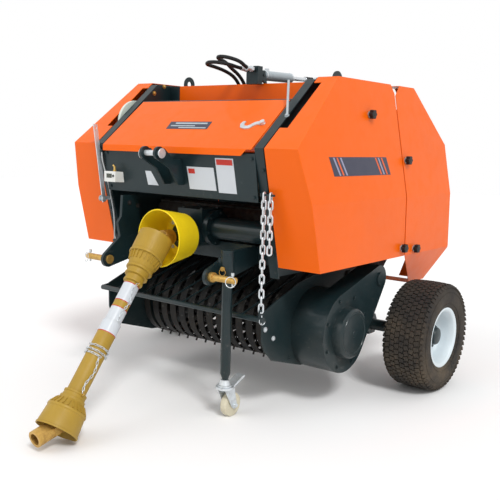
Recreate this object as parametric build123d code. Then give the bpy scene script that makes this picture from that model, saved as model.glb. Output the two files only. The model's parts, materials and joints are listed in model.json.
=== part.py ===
from build123d import *
import math
import os

# Small three-point round baler with a fixed roller chamber.
# Millimetres. +X is the machine's left, +Y its rear, +Z up, and z = 0 is the ground.
# While modelling, y = 0 is the upper front edge of the side covers. At the end every piece
# moves along Y so that the origin is midway along the machine.

# Side frames and the front line that frames, flanges and covers share
plate_in = 352.0            # inner face of each side plate, from the middle of the machine
plate_t = 6.0
flange_w = 34.0             # front and slope flange, standing out from the plate
flange_t = 5.0
edge_z = 884.0              # height of the upper front edge
front_lean = 0.249          # the front face goes back this much per mm below that edge
slope_y = 285.0             # the top slope ends here
top_z = 1122.0              # flat top of the covers
seam_y = 664.0              # joint between the fixed frame and the tailgate
seam_gap = 10.0
plate_out = plate_in + plate_t

# Bale chamber
chamber_y = 610.0
chamber_z = 720.0
bale_r = 250.0
roller_r = 50.0
rib_h = 6.0
rib_count = 6
roller_wall = 6.0
roller_shaft_r = 15.0
roller_first = 262.0        # angle of the starter roller, from the rear towards the top
roller_step = 27.0
roller_total = 12
tailgate_rollers = range(1, 7)
roller_ring = bale_r + roller_r + 2.0

# Side covers, sheet shells
cover_in = 390.0
cover_sheet = 2.0
cover_bottom_z = 502.0
crease_z = 719.0
crease_x = 547.0
cover_low_x = 551.0
cover_top_x = 471.0
rear_top_y = 826.0
rear_y = 1051.0
rear_corner_z = 912.0
rear_low_z = 495.0
chin_y = 822.0              # foot of the rear cover, where it is folded inwards
chin_rear_y = 950.0
chin_z = 372.0
chin_x = 497.0
slot_y = 78.0               # long slot beside the flange, in the slope of the front cover
slot_end_y = 262.0
slot_w = 30.0
knob_r = 13.0

# Tailgate
hinge_y = 700.0
hinge_z = 1085.0
hinge_pin_r = 12.0
gate_ring_r = 402.0
gate_foot_z = 368.0
gate_tube_r = 20.0
bore_gap = 0.05             # running clearance of a pin in its hole

# Hood over the twine box
hood_side_gap = 7.0         # from the hood's ends to the side plates
hood_half = plate_in - hood_side_gap
hood_sheet = 2.5
hood_low_y = -8.0
hood_low_z = 880.0
hood_top_y = 193.0
hood_top_z = 1043.0
hood_lip = 22.0

# Front panel and top link bracket
panel_low_y = 28.0
panel_low_z = 713.0
panel_top_y = 4.0
panel_top_z = 866.0
panel_t = 4.0
link_y = -96.0
link_z = 858.0
link_ear_x = 32.0
link_ear_t = 10.0
link_pin_r = 9.5

# Lower hitch arms and pins
arm_x = 242.0
arm_t = 12.0
eye_y = -73.0
eye_z = 474.0
eye_r = 28.0
pin_r = 11.0
pin_reach = 108.0
pin_head_r = 16.0
beam_y = 200.0
beam_z = 520.0
beam_side = 60.0

# Gearbox, drive tube and shield
axis_z = 572.0
gearbox_y = 160.0
tube_z = 598.0
drive_tube_r = 38.0
bell_front_y = -60.0
bell_back_y = 56.0
bell_r = 98.0
bell_back_r = 78.0
bell_wall = 3.0

# Drive shaft, hanging from its joint to the ground
joint_y = -75.0
shaft_down = 49.0           # degrees below level
shaft_side = 4.8            # degrees to the machine's left
shaft_length = 700.0        # joint centre to the mouth of the lower guard cone
guard_r = 26.0
cup_r = 60.0
low_cup_r = 66.0
spline_r = 17.5
yoke_hub_r = 26.0
joint_back = 24.0           # the far joint lies this far inside the lower cone
end_down = 14.0             # the end yoke's own fall, degrees
end_reach = 92.0            # length of the end yoke from its joint
inner_tube_r = 14.0
outer_tube_r = 19.8
upper_hub = 108.0           # the upper yoke's hub ends here
upper_bore = 140.0          # the outer tube is open from here
bar_start = 200.0
tube_end = shaft_length - 160.0
guard_end = shaft_length - 140.0
sleeve_start = guard_end - 230.0
sleeve_gap = 0.6
cross_half = 27.0
cross_r = 9.0
cross_hub_r = 14.0

# Wheels and axle
wheel_x = 620.0
wheel_y = 739.0
tyre_r = 203.0
tyre_w = 165.0
rim_r = 103.0
rim_lip_r = 112.0
axle_r = 22.0
axle_pin_r = 12.5
axle_z = tyre_r

# Pickup
pickup_y = 345.0
pickup_z = 262.0
band_r = 137.0
band_t = 3.0
band_w = 30.0
band_count = 15
band_pitch = 47.0
reel_tube_r = 30.0
tine_bar_ring = 70.0
tine_bar_r = 9.0
tine_bars = 4
tine_reach = 152.0
tine_r = 2.5
pickup_plate_x = 366.0
pickup_plate_t = 6.0
guard_bar_y = 14.0
guard_bar_z = 342.0
guard_bar_r = 9.0
chaincase_in = 372.0
chaincase_x = 505.0
chaincase_r = 142.0
chaincase_top_r = 50.0
case_step = 60.0            # the tapering part starts this much further out
case_sheet = 3.0
boss_r = 90.0
boss_x = 540.0
small_boss_r = 24.0
small_boss_h = 7.0

# Jack with its castor
jack_x = 276.0
jack_y = -24.0
jack_tube_r = 21.0
jack_leg_r = 17.0
jack_low_z = 458.0
jack_top_z = 545.0
castor_r = 40.0
castor_w = 24.0
castor_trail = 30.0
castor_plate_z = 100.0
leg_foot_z = 130.0

# Chain that limits the pickup
chain_x = 398.0
chain_y = 14.0
chain_hook_z = 745.0
link_wire = 6.0
link_inner = 24.0
link_gap = 0.4
free_links = 8

# Tailgate cylinder and its hoses
box_half = 300.0            # twine box
box_front_y = 16.0
box_floor_z = 868.0
box_fold_y = 232.0          # from here the floor rises to the back panel
box_back_y = 350.0
box_low_z = 965.0
box_top_z = 1112.0
box_sheet = 3.0
box_end_rise = 6.0
hood_bar_r = 6.0

ram_x = 100.0
ram_front_y = 341.0
ram_rise = 30.0             # front eye above the twine box
ram_z = box_top_z + ram_rise
ram_r = 18.0
ram_rod_r = 8.0
ram_length = 190.0
ram_lug_y = 704.0
ram_lug_rise = 65.0         # rear eye above the tailgate's hinge
ram_lug_z = hinge_z + ram_lug_rise
port_rise = 16.0            # ports above the front eye
port_z = ram_z + port_rise
port_apart = 26.0
hose_r = 5.0
hose_width = 104.0          # each hose's loop
hose_end_y = 385.0
hose_end_z = 1045.0

# Twine disc
disc_y = 205.0
disc_z = 964.0
disc_r = 85.0
spindle_r = 8.0

# Lifting lugs on top of the side frames
lift_y = 460.0
lift_r = 30.0
lift_hole_r = 12.0
lift_rise = 14.0

# Counter, with the cable that runs down beside it
counter_low = 744.0
counter_top = 782.0
counter_in = 262.0
counter_out = 322.0
cable_r = 2.5
cable_top_z = 851.0
cable_low_z = 520.0

pieces = {}


def slab(points, low_x, high_x):
    """Plate with an outline in Y and Z between two places along X."""
    face = Plane.YZ.offset(low_x) * Polygon(*points, align=None)
    return extrude(face, amount=high_x - low_x, dir=(1, 0, 0))


def rod(start, end, radius, bore=0.0):
    """Round bar or tube from one point to another."""
    way = Vector(*end) - Vector(*start)
    at = Plane(origin=start, z_dir=way)
    foot = (Align.CENTER, Align.CENTER, Align.MIN)
    body = at * Cylinder(radius, way.length, align=foot)
    if bore:
        body -= at * Cylinder(bore, way.length, align=foot)
    return body


def turned(points, origin, along):
    """Body of revolution: points are (distance along the axis, radius)."""
    way = Vector(*along).normalized()
    side = Vector(0, 0, 1) if abs(way.Z) < 0.9 else Vector(0, 1, 0)
    side = (side - way * way.dot(side)).normalized()
    plane = Plane(origin=origin, x_dir=way, z_dir=way.cross(side))
    return revolve(plane * Polygon(*points, align=None), Axis(origin, tuple(way)), 360)


def block(low_x, high_x, low_y, high_y, low_z, high_z):
    """Box between its lowest and highest corners."""
    size = (high_x - low_x, high_y - low_y, high_z - low_z)
    middle = ((low_x + high_x) / 2, (low_y + high_y) / 2, (low_z + high_z) / 2)
    return Pos(*middle) * Box(*size)


def loose(shapes):
    """Shapes that touch but stay separate solids."""
    return Compound([solid for shape in shapes for solid in shape.solids()])


def front_line(height):
    """Y of the leaning front face at a height."""
    return max(0.0, (edge_z - height) * front_lean)


def both_sides(name, shape):
    """The piece on the machine's left, and its mirror image on the right."""
    pieces[name + "_left"] = shape
    pieces[name + "_right"] = mirror(shape, Plane.YZ)


def roller_centre(index):
    angle = math.radians(roller_first + roller_step * index)
    return chamber_y + roller_ring * math.cos(angle), chamber_z + roller_ring * math.sin(angle)


slope = (top_z - edge_z) / slope_y
frame_top = top_z - 8.0
frame_rear = seam_y - seam_gap
frame_slope_y = (frame_top - edge_z) / slope
starter_y, starter_z = roller_centre(0)
pivot_y, pivot_z = starter_y, starter_z

# Side frames: plate, front flange, slope flange, top flange and the arm that carries the axle
frame_low = 462.0
plate_foot = 352.0
arm_r = 34.0
outline = [(front_line(frame_low), frame_low), (0, edge_z), (frame_slope_y, frame_top),
           (frame_rear, frame_top), (frame_rear, plate_foot), (500, plate_foot), (400, frame_low)]
plate = slab(outline, plate_in, plate_out)
plate += slab([(560, plate_foot + 60), (frame_rear, plate_foot + 20), (wheel_y + arm_r, axle_z + 20),
               (wheel_y + 20, axle_z - arm_r), (wheel_y - 20, axle_z - arm_r), (540, plate_foot)],
              plate_in, plate_out)
frame_side = plate
frame_side += slab([(front_line(frame_low), frame_low), (0, edge_z), (flange_t, edge_z),
                    (front_line(frame_low) + flange_t, frame_low)], plate_in, plate_in + flange_w)
frame_side += slab([(0, edge_z), (frame_slope_y, frame_top), (frame_slope_y, frame_top - flange_t),
                    (flange_t, edge_z - flange_t)], plate_in, plate_in + flange_w)
frame_side += slab([(frame_slope_y, frame_top), (frame_rear, frame_top), (frame_rear, frame_top - flange_t),
                    (frame_slope_y, frame_top - flange_t)], plate_in, plate_in + flange_w)
lug_x = plate_out + 3.0
lug = slab([(600, 1050), (hinge_y, hinge_z - 26), (hinge_y + 22, hinge_z - 14), (hinge_y + 22, hinge_z + 14),
            (hinge_y, hinge_z + 24), (600, frame_top - flange_t)], lug_x, lug_x + 8)
lug += block(plate_out, lug_x, 600, 640, 1050, frame_top - flange_t)
lug += rod((plate_in - 8, hinge_y, hinge_z), (lug_x + 14, hinge_y, hinge_z), hinge_pin_r)
frame_side += lug
lift = slab([(lift_y - lift_r, frame_top - flange_t), (lift_y - lift_r, frame_top + lift_rise),
             (lift_y + lift_r, frame_top + lift_rise), (lift_y + lift_r, frame_top - flange_t)], plate_in, plate_out)
lift += rod((plate_in, lift_y, frame_top + lift_rise), (plate_out, lift_y, frame_top + lift_rise), lift_r)
frame_side += lift - rod((plate_in, lift_y, frame_top + lift_rise), (plate_out, lift_y, frame_top + lift_rise),
                         lift_hole_r)
for index in range(roller_total):
    if index not in tailgate_rollers:
        cy, cz = roller_centre(index)
        frame_side += rod((plate_out, cy, cz), (plate_out + 8, cy, cz), roller_shaft_r + 12)
        frame_side -= rod((plate_in, cy, cz), (plate_out + 8, cy, cz), roller_shaft_r)
stub = rod((plate_out, wheel_y, axle_z), (wheel_x - 62, wheel_y, axle_z), axle_r)
stub += rod((wheel_x - 62, wheel_y, axle_z), (wheel_x + 40, wheel_y, axle_z), axle_pin_r)
axle_block = slab([(wheel_y - 45, axle_z), (wheel_y - 24, axle_z - 38), (wheel_y + 24, axle_z - 38),
                   (wheel_y + 45, axle_z), (wheel_y + 24, axle_z + 38), (wheel_y - 24, axle_z + 38)],
                  plate_out, plate_out + 34)
both_sides("frame", frame_side)
hook_bar_r = 3.5
hook_bar_z = chain_hook_z - hook_bar_r - 1.2
hook_x = plate_in + flange_w - 8
hook = block(hook_x - 5, hook_x + 2, chain_y - 5, front_line(hook_bar_z) + 3, hook_bar_z - 5, hook_bar_z + 5)
hook += rod((hook_x, chain_y, hook_bar_z), (chain_x + 28, chain_y, hook_bar_z), hook_bar_r)
pieces["frame_left"] += hook
disc_in = cover_in + 6.0
pieces["frame_right"] += rod((-plate_out, disc_y, disc_z), (-disc_in - 14, disc_y, disc_z), spindle_r)
cable_top = (-plate_out, front_line(cable_top_z) - 10, cable_top_z)
cable_low = (-plate_out - 22, front_line(cable_low_z) - 11, cable_low_z)
for end, side in ((cable_top, 1), (cable_low, -1)):
    clip = [end[2], end[2] + side * 9]
    pieces["frame_right"] += block(end[0] - 5, end[0] + 5, end[1] - 5, front_line(max(clip)) + 4, min(clip),
                                   max(clip))
half_axle = axle_block + stub
pieces["axle"] = half_axle + mirror(half_axle, Plane.YZ)

# Front panel with its lower fold, and the two ears for the top link
panel = slab([(panel_low_y, panel_low_z), (panel_top_y, panel_top_z), (panel_top_y + panel_t, panel_top_z),
              (panel_low_y + panel_t, panel_low_z)], -plate_in, plate_in)
panel += slab([(panel_low_y, panel_low_z), (panel_low_y + 26, panel_low_z - 4), (panel_low_y + 26, panel_low_z),
               (panel_low_y + panel_t, panel_low_z + panel_t)], -plate_in, plate_in)
ear_outline = [(26, 752), (9, 838), (-30, 838), (link_y + 22, link_z + 16), (link_y - 14, link_z + 12),
               (link_y - 22, link_z - 4), (link_y - 10, link_z - 18), (-44, 806), (-6, 752)]
ears = []
for side in (-1, 1):
    low = side * link_ear_x - link_ear_t / 2
    ear = slab(ear_outline, low, low + link_ear_t)
    ear += rod((low, link_y, link_z), (low + link_ear_t, link_y, link_z), 22)
    ear -= rod((low, link_y, link_z), (low + link_ear_t, link_y, link_z), link_pin_r)
    ear -= slab([(panel_low_y, panel_low_z), (panel_top_y, panel_top_z), (60, panel_top_z), (60, panel_low_z)],
                -plate_in, plate_in)
    ears.append(ear)
pieces["front_panel"] = loose([panel] + ears)
link_end = link_ear_x + link_ear_t / 2 + 12
link_pin = rod((-link_end, link_y, link_z), (link_end, link_y, link_z), link_pin_r)
link_pin += rod((link_end - 4, link_y, link_z), (link_end, link_y, link_z), 16)

# Cross beam, with the hitch arms welded to it
beam_reach = beam_side / 2
beam_front = beam_y - beam_reach
beam_top = beam_z + beam_reach
beam_foot = beam_z - beam_reach
beam = block(-plate_in, plate_in, beam_front, beam_y + beam_reach, beam_foot, beam_top)
beam -= block(-plate_in, plate_in, beam_front + 5, beam_y + beam_reach - 5, beam_foot + 5, beam_top - 5)
hitch = [beam]
hitch_pins = []
left_arm = [(eye_y - 18, eye_z + 22), (31, 546), (beam_front, beam_top), (beam_front, beam_foot),
            (45, 462), (eye_y + 10, eye_z - 26)]
right_arm = [(eye_y - 20, eye_z + 20), (-19, 552), (-30, 603), (-13, 624), (-8, 700), (60, 700), (80, 600),
             (beam_front, beam_top), (beam_front, beam_foot), (40, 470), (eye_y + 10, eye_z - 26)]
for side, shape in ((1, left_arm), (-1, right_arm)):
    low = side * arm_x - arm_t / 2
    arm = slab(shape, low, low + arm_t) + rod((low, eye_y, eye_z), (low + arm_t, eye_y, eye_z), eye_r)
    arm -= rod((low, eye_y, eye_z), (low + arm_t, eye_y, eye_z), pin_r)
    hitch.append(arm)
    inner = side * (arm_x - arm_t / 2 - 8)
    pin = rod((inner, eye_y, eye_z), (side * (arm_x + pin_reach), eye_y, eye_z), pin_r)
    pin += rod((inner, eye_y, eye_z), (side * (arm_x - arm_t / 2), eye_y, eye_z), pin_head_r)
    collar = side * (arm_x + arm_t / 2)
    pin += rod((collar, eye_y, eye_z), (collar + side * 14, eye_y, eye_z), pin_head_r)
    hitch_pins.append(pin)
pieces["hitch_frame"] = loose(hitch)
pieces["hitch_pins"] = loose(hitch_pins)
pieces["top_link_pin"] = link_pin

# Gearbox on the beam, drive tube to the left side, shield over the input shaft
gearbox = block(-62, 52, gearbox_y - 62, gearbox_y + 50, beam_top, tube_z + 66)
gearbox += rod((52, gearbox_y, tube_z), (74, gearbox_y, tube_z), 62)
gearbox += rod((0, bell_back_y - 6, axis_z), (0, gearbox_y, axis_z), 46)
gearbox += rod((0, joint_y + 74, axis_z), (0, gearbox_y, axis_z), spline_r)
gearbox -= block(-100, 100, beam_y - beam_reach, beam_y + beam_reach, beam_foot, beam_top)
gearbox += rod((74, gearbox_y, tube_z), (plate_in, gearbox_y, tube_z), drive_tube_r)
pieces["gearbox"] = gearbox
depth = bell_back_y - bell_front_y
bell = turned([(0, bell_r - bell_wall), (0, bell_r), (depth, bell_back_r), (depth, 46), (depth - bell_wall, 46),
               (depth - bell_wall, bell_back_r - bell_wall)], (0, bell_front_y, axis_z), (0, 1, 0))
bell -= rod((0, bell_back_y - 20, axis_z), (0, bell_back_y, axis_z), 46)
pieces["drive_shield"] = bell

# Twine box behind the hood: tray, back panel and end brackets
box_shape = slab([(box_front_y, box_floor_z), (box_fold_y, box_floor_z), (box_back_y, box_low_z),
                  (box_back_y, box_top_z), (box_back_y - box_sheet, box_top_z),
                  (box_back_y - box_sheet, box_low_z + 2), (box_fold_y - 1, box_floor_z + box_sheet),
                  (box_front_y, box_floor_z + box_sheet)], -box_half, box_half)
pieces["twine_box"] = box_shape
ends = None
for side in (-1, 1):
    end = block(min(side * box_half, side * plate_in), max(side * box_half, side * plate_in),
                box_back_y - 60, box_back_y, box_top_z - 72, box_top_z - 66)
    end += block(min(side * box_half, side * plate_in), max(side * box_half, side * plate_in),
                 box_back_y - 6, box_back_y, box_top_z - 66, box_top_z)
    ends = end if ends is None else ends + end
hood_bar_y = hood_top_y + hood_bar_r + 2
ends += rod((-plate_in, hood_bar_y, hood_top_z - 3), (plate_in, hood_bar_y, hood_top_z - 3), hood_bar_r)

# Hood: sheet with a lip along its lower edge and a fold at the hinge
hood = slab([(hood_low_y, hood_low_z), (hood_top_y, hood_top_z), (hood_top_y, hood_top_z - hood_sheet),
             (hood_low_y + hood_sheet, hood_low_z - hood_sheet)], -hood_half, hood_half)
hood += slab([(hood_low_y, hood_low_z), (hood_low_y + hood_sheet, hood_low_z), (hood_low_y + hood_sheet,
             hood_low_z - hood_lip), (hood_low_y, hood_low_z - hood_lip)], -hood_half, hood_half - 20)
lip_end = hood_half - 20
corner = Plane.XZ * Polygon((lip_end - hood_lip, hood_low_z - hood_lip), (lip_end, hood_low_z - hood_lip),
                            (lip_end, hood_low_z - hood_sheet), align=None)
hood -= extrude(corner, amount=20, both=True)
pieces["hood"] = hood
hood_fall = math.atan2(hood_top_z - hood_low_z, hood_top_y - hood_low_y)
latch_y = 92.0
latch_z = hood_low_z + (latch_y - hood_low_y) * math.tan(hood_fall)
latch_plane = Plane(origin=(hood_half - 60, latch_y, latch_z), x_dir=(1, 0, 0),
                    z_dir=(0, -math.sin(hood_fall), math.cos(hood_fall)))
latch_shape = Polygon((-44, 8), (-46, -2), (-38, -14), (-26, -16), (-15, -8), (-8, 2), (4, 8), (30, 8), (38, 3),
                      (38, -5), (30, -8), (8, -6), (0, -12), (-12, -28), (-28, -30), (-50, -24), (-60, -6),
                      (-56, 8), align=None)
latch = extrude(latch_plane * latch_shape, amount=4, dir=tuple(latch_plane.z_dir))
latch_head = latch_plane * Pos(28, 0, 4) * Cylinder(9, 7, align=(Align.CENTER, Align.CENTER, Align.MIN))
pieces["hood_latch"] = latch + latch_head

# Chamber rollers with ribs, those of the frame and those of the tailgate
groups = {"chamber_rollers": None, "tailgate_rollers": None}
roller_half = plate_in - 6.0
for index in range(roller_total):
    cy, cz = roller_centre(index)
    ring = []
    for step in range(rib_count):
        start = 360.0 / rib_count * step
        for ahead, radius in ((0, roller_r + rib_h), (9, roller_r + rib_h), (10, roller_r), (35, roller_r - 1),
                               (59, roller_r)):
            turn = math.radians(start + ahead)
            ring.append((cy + radius * math.cos(turn), cz + radius * math.sin(turn)))
    roller = slab(ring, -roller_half, roller_half)
    roller -= rod((-roller_half, cy, cz), (-6, cy, cz), roller_r - roller_wall)
    roller -= rod((6, cy, cz), (roller_half, cy, cz), roller_r - roller_wall)
    shaft_half = pickup_plate_x + pickup_plate_t + 8 if index == 0 else plate_out + 4
    roller += rod((-shaft_half, cy, cz), (shaft_half, cy, cz), roller_shaft_r)
    group = "tailgate_rollers" if index in tailgate_rollers else "chamber_rollers"
    groups[group] = roller if groups[group] is None else groups[group] + roller
pieces.update(groups)

# Tailgate: two plates joined by cross tubes
gate_tubes = ((770.0, 1080.0), (985.0, 860.0), (955.0, 550.0))
gate_disc = Pos(chamber_y, chamber_z) * Circle(gate_ring_r)
gate_round = extrude(Plane.YZ.offset(plate_in) * gate_disc, amount=plate_t)
gate_plate = gate_round & block(plate_in, plate_out, seam_y, rear_y, gate_foot_z, frame_top)
gate_plate += slab([(seam_y, 1070), (hinge_y - 8, frame_top), (800, frame_top), (860, 1030), (seam_y, 1000)],
                   plate_in, plate_out)
gate_plate -= slab([(seam_y - 1, 1068), (seam_y - 1, top_z), (hinge_y - 6, top_z), (hinge_y - 14, frame_top - 6)],
                   plate_in, plate_out)
gate_plate -= rod((plate_in, hinge_y, hinge_z), (plate_out, hinge_y, hinge_z), hinge_pin_r + bore_gap)
for index in tailgate_rollers:
    cy, cz = roller_centre(index)
    gate_plate += rod((plate_out, cy, cz), (plate_out + 8, cy, cz), roller_shaft_r + 12)
    gate_plate -= rod((plate_in, cy, cz), (plate_out + 8, cy, cz), roller_shaft_r)
gate = [gate_plate, mirror(gate_plate, Plane.YZ)]
for cy, cz in gate_tubes:
    gate.append(rod((-plate_in, cy, cz), (plate_in, cy, cz), gate_tube_r))
gate_lug = [(ram_lug_y - 14, ram_lug_z), (ram_lug_y, ram_lug_z + 14), (ram_lug_y + 14, ram_lug_z + 4),
            (790, 1090), (780, 1070), (750, 1075)]
for side in (-1, 1):
    low = ram_x + side * 16 - 4
    lug = slab(gate_lug, low, low + 8) - gate[2]
    gate.append(lug + rod((ram_x + side * 20, ram_lug_y, ram_lug_z), (ram_x + side * 24, ram_lug_y, ram_lug_z), 9))
pieces["tailgate_frame"] = loose(gate)

# Side covers: outline from the side cut with the outline from the front, then hollowed
front_view = [(cover_in, chin_z), (chin_x, chin_z), (cover_low_x, cover_bottom_z), (crease_x, crease_z),
              (cover_top_x, top_z), (cover_in, top_z)]
wide = extrude(Plane.XZ * Polygon(*front_view, align=None), amount=1200, dir=(0, 1, 0))


def cover_shell(side_outline, inner_outline):
    """Sheet cover that is open towards the machine and at its hidden edges."""
    outer = slab(side_outline, cover_in, 600) & wide
    return outer - Pos(-cover_sheet, 0, 0) * (slab(inner_outline, cover_in - 40, 600) & wide_inner)


inner_view = [(cover_in - 50, chin_z - 50), (chin_x, chin_z - 50), (chin_x, chin_z), (cover_low_x, cover_bottom_z),
              (crease_x, crease_z), (cover_top_x, top_z), (cover_in - 50, top_z)]
wide_inner = extrude(Plane.XZ * Polygon(*inner_view, align=None), amount=1200, dir=(0, 1, 0))
sheet = cover_sheet
cover_rear = seam_y - 3
cut = 40.0
lean_cut = front_line(cover_bottom_z - cut)
front_cover = cover_shell(
    [(front_line(cover_bottom_z), cover_bottom_z), (0, edge_z), (slope_y, top_z), (cover_rear, top_z),
     (cover_rear, cover_bottom_z)],
    [(lean_cut + sheet, cover_bottom_z - cut), (sheet, edge_z - sheet / 2), (slope_y + sheet / 2, top_z - sheet),
     (cover_rear + cut, top_z - sheet), (cover_rear + cut, cover_bottom_z - cut)])
front_cover -= slab([(slot_y, edge_z + slope * slot_y + 10), (slot_end_y, edge_z + slope * slot_end_y + 10),
                     (slot_end_y, edge_z + slope * slot_end_y - 40), (slot_y, edge_z + slope * slot_y - 40)],
                    cover_in - 1, cover_in + slot_w)
front_cover -= slab([(cover_rear - 22, top_z + 1), (cover_rear + 1, top_z + 1), (cover_rear + 1, top_z - 34)],
                    cover_in - 1, 600)
gate_front = seam_y + 3
notch_z = hinge_z - 2
rear_cover = cover_shell(
    [(gate_front, cover_bottom_z), (gate_front, notch_z), (hinge_y + 8, top_z), (rear_top_y, top_z),
     (rear_y, rear_corner_z), (rear_y, rear_low_z), (chin_rear_y, chin_z), (chin_y, chin_z)],
    [(gate_front - cut, cover_bottom_z - cut), (gate_front - cut, top_z - sheet), (rear_top_y - sheet / 2, top_z - sheet),
     (rear_y - sheet, rear_corner_z - sheet / 2), (rear_y - sheet, rear_low_z + sheet / 2),
     (chin_rear_y - sheet, chin_z + sheet), (chin_rear_y - sheet, chin_z - cut)])
both_sides("cover_front", front_cover)
both_sides("cover_rear", rear_cover)


# Knobs and the stays that hold the covers off the plates
def cover_fitting(places, stays):
    fitting = None
    for ky, kz in places:
        kx = crease_x + (cover_top_x - crease_x) * max(0.0, kz - crease_z) / (top_z - crease_z)
        if kz < crease_z:
            kx = cover_low_x + (crease_x - cover_low_x) * (kz - cover_bottom_z) / (crease_z - cover_bottom_z)
        knob = rod((kx + 1.4, ky, kz), (kx + 7, ky, kz), 6) + rod((kx + 7, ky, kz), (kx + 22, ky, kz), knob_r)
        fitting = knob if fitting is None else fitting + knob
    for sy, sz in stays:
        fitting += rod((plate_out, sy, sz), (cover_in + 70, sy, sz), 7)
    return fitting


for name, places, stays in (("cover_knobs_front", ((456, 1007), (637, 533)), ((200, 780), (560, 1000))),
                            ("cover_knobs_rear", ((688, 851), (737, 523)), ((760, 900), (960, 700)))):
    fittings = cover_fitting(places, stays)
    pieces[name] = fittings + mirror(fittings, Plane.YZ)

# Wheels: tyre with rounded shoulders, dished rim with hub
tyre_half = tyre_w / 2
seat_r = rim_lip_r - 6
tyre_points = [(-60, seat_r), (-74, seat_r + 14), (-tyre_half, 150), (-tyre_half + 5, 180),
               (-58, 199), (0, tyre_r), (58, 199), (tyre_half - 5, 180), (tyre_half, 150),
               (74, seat_r + 14), (60, seat_r)]
tyre = turned(tyre_points, (wheel_x, wheel_y, axle_z), (1, 0, 0))
rim_points = [(-60, seat_r), (60, seat_r), (66, seat_r + 1), (70, rim_lip_r), (74, rim_lip_r), (72, seat_r - 2),
              (64, rim_r - 5), (18, rim_r - 8), (3, 90), (8, 36), (44, 30), (44, axle_pin_r + bore_gap),
              (-52, axle_pin_r + bore_gap), (-52, 34), (2, 40), (-3, 91), (-14, rim_r - 5), (-64, rim_r - 5),
              (-72, seat_r - 2), (-74, rim_lip_r), (-70, rim_lip_r), (-66, seat_r + 1)]
rim = turned(rim_points, (wheel_x, wheel_y, axle_z), (1, 0, 0))
cap = rod((wheel_x + 44, wheel_y, axle_z), (wheel_x + 52, wheel_y, axle_z), 30)
both_sides("tyre", tyre)
both_sides("rim", rim + cap)

# Jack sleeve on the left arm, leg that slides in it, swivelling castor
arm_outer = arm_x + arm_t / 2
sleeve = rod((jack_x, jack_y, jack_low_z), (jack_x, jack_y, jack_top_z), jack_tube_r)
sleeve += block(arm_outer, jack_x, jack_y - 14, jack_y + 14, jack_low_z + 14, jack_top_z - 12)
sleeve -= rod((jack_x, jack_y, jack_low_z), (jack_x, jack_y, jack_top_z), jack_leg_r + bore_gap)
pieces["jack_sleeve"] = sleeve
leg = rod((jack_x, jack_y, leg_foot_z + 22), (jack_x, jack_y, jack_top_z), jack_leg_r)
leg += turned([(0, 0), (0, 9), (22, jack_leg_r), (22, 0)], (jack_x, jack_y, leg_foot_z), (0, 0, 1))
leg += rod((jack_x, jack_y, jack_top_z), (jack_x, jack_y, jack_top_z + 14), jack_tube_r)
leg -= rod((jack_x, jack_y, leg_foot_z), (jack_x, jack_y, leg_foot_z + 16), 6 + bore_gap)
pieces["jack_leg"] = leg
wheel_at = jack_y + castor_trail
fork = rod((jack_x, jack_y, castor_plate_z), (jack_x, jack_y, castor_plate_z + 8), 30)
fork += turned([(0, 0), (0, 22), (22, 14), (leg_foot_z - castor_plate_z - 8, 12), (leg_foot_z - castor_plate_z - 8, 0)],
               (jack_x, jack_y, castor_plate_z + 8), (0, 0, 1))
fork += rod((jack_x, jack_y, castor_plate_z), (jack_x, jack_y, leg_foot_z + 12), 6)
cheek = [(jack_y - 18, castor_plate_z), (jack_y + 28, castor_plate_z), (wheel_at + 14, castor_r - 8),
         (wheel_at, castor_r - 14), (wheel_at - 14, castor_r - 4)]
for side in (-1, 1):
    low = jack_x + side * (castor_w / 2 + 5) - 1.5
    fork += slab(cheek, low, low + 3)
pedal = [(jack_y + 14, castor_plate_z), (jack_y + 28, castor_plate_z), (jack_y + 84, castor_plate_z + 24),
         (jack_y + 84, castor_plate_z + 30), (jack_y + 70, castor_plate_z + 28)]
fork += slab(pedal, jack_x - 16, jack_x + 16)
fork += rod((jack_x - castor_w / 2 - 10, wheel_at, castor_r), (jack_x + castor_w / 2 + 10, wheel_at, castor_r), 5)
pieces["castor_fork"] = fork
castor = turned([(-castor_w / 2, 5.05), (-castor_w / 2, castor_r - 3), (-castor_w / 2 + 3, castor_r),
                 (castor_w / 2 - 3, castor_r), (castor_w / 2, castor_r - 3), (castor_w / 2, 5.05)],
                (jack_x, wheel_at, castor_r), (1, 0, 0))
pieces["castor_wheel"] = castor

# Pickup: end plates, guard bar with its rods, stripper bands, reel with tines
plate_end = [(42, 356), (44, 262), (62, 222), (100, 186), (270, 134), (400, 122), (515, 158), (540, 240),
             (pivot_y + 46, 392), (pivot_y + 36, pivot_z + 38), (pivot_y - 24, pivot_z + 40), (400, 452), (250, 430), (120, 386)]
end_plates = []
for side in (-1, 1):
    low = side * (pickup_plate_x + pickup_plate_t / 2) - pickup_plate_t / 2
    end = slab(plate_end, low, low + pickup_plate_t)
    end -= rod((low, pickup_y, pickup_z), (low + pickup_plate_t, pickup_y, pickup_z), roller_shaft_r + bore_gap)
    end -= rod((low, pivot_y, pivot_z), (low + pickup_plate_t, pivot_y, pivot_z), roller_shaft_r + bore_gap)
    end_plates.append(end)
pieces["pickup_frame"] = loose(end_plates)
reach = pickup_plate_x + pickup_plate_t
guard_bar = rod((-reach, guard_bar_y, guard_bar_z), (reach + 26, guard_bar_y, guard_bar_z), guard_bar_r)
for side in (-1, 1):
    low = side * (pickup_plate_x + pickup_plate_t / 2) - pickup_plate_t / 2
    guard_bar += slab([(guard_bar_y, guard_bar_z - 9), (guard_bar_y, guard_bar_z + 9), (43, 354), (43, 324)],
                      low, low + pickup_plate_t) - end_plates[(side + 1) // 2]
rod_count = 10
for index in range(rod_count):
    rx = -300 + 600.0 / (rod_count - 1) * index
    guard_bar += rod((rx, guard_bar_y, guard_bar_z), (rx, 330, 432), 3)
rear_tube_y = 500.0
rear_tube_z = 186.0

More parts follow.
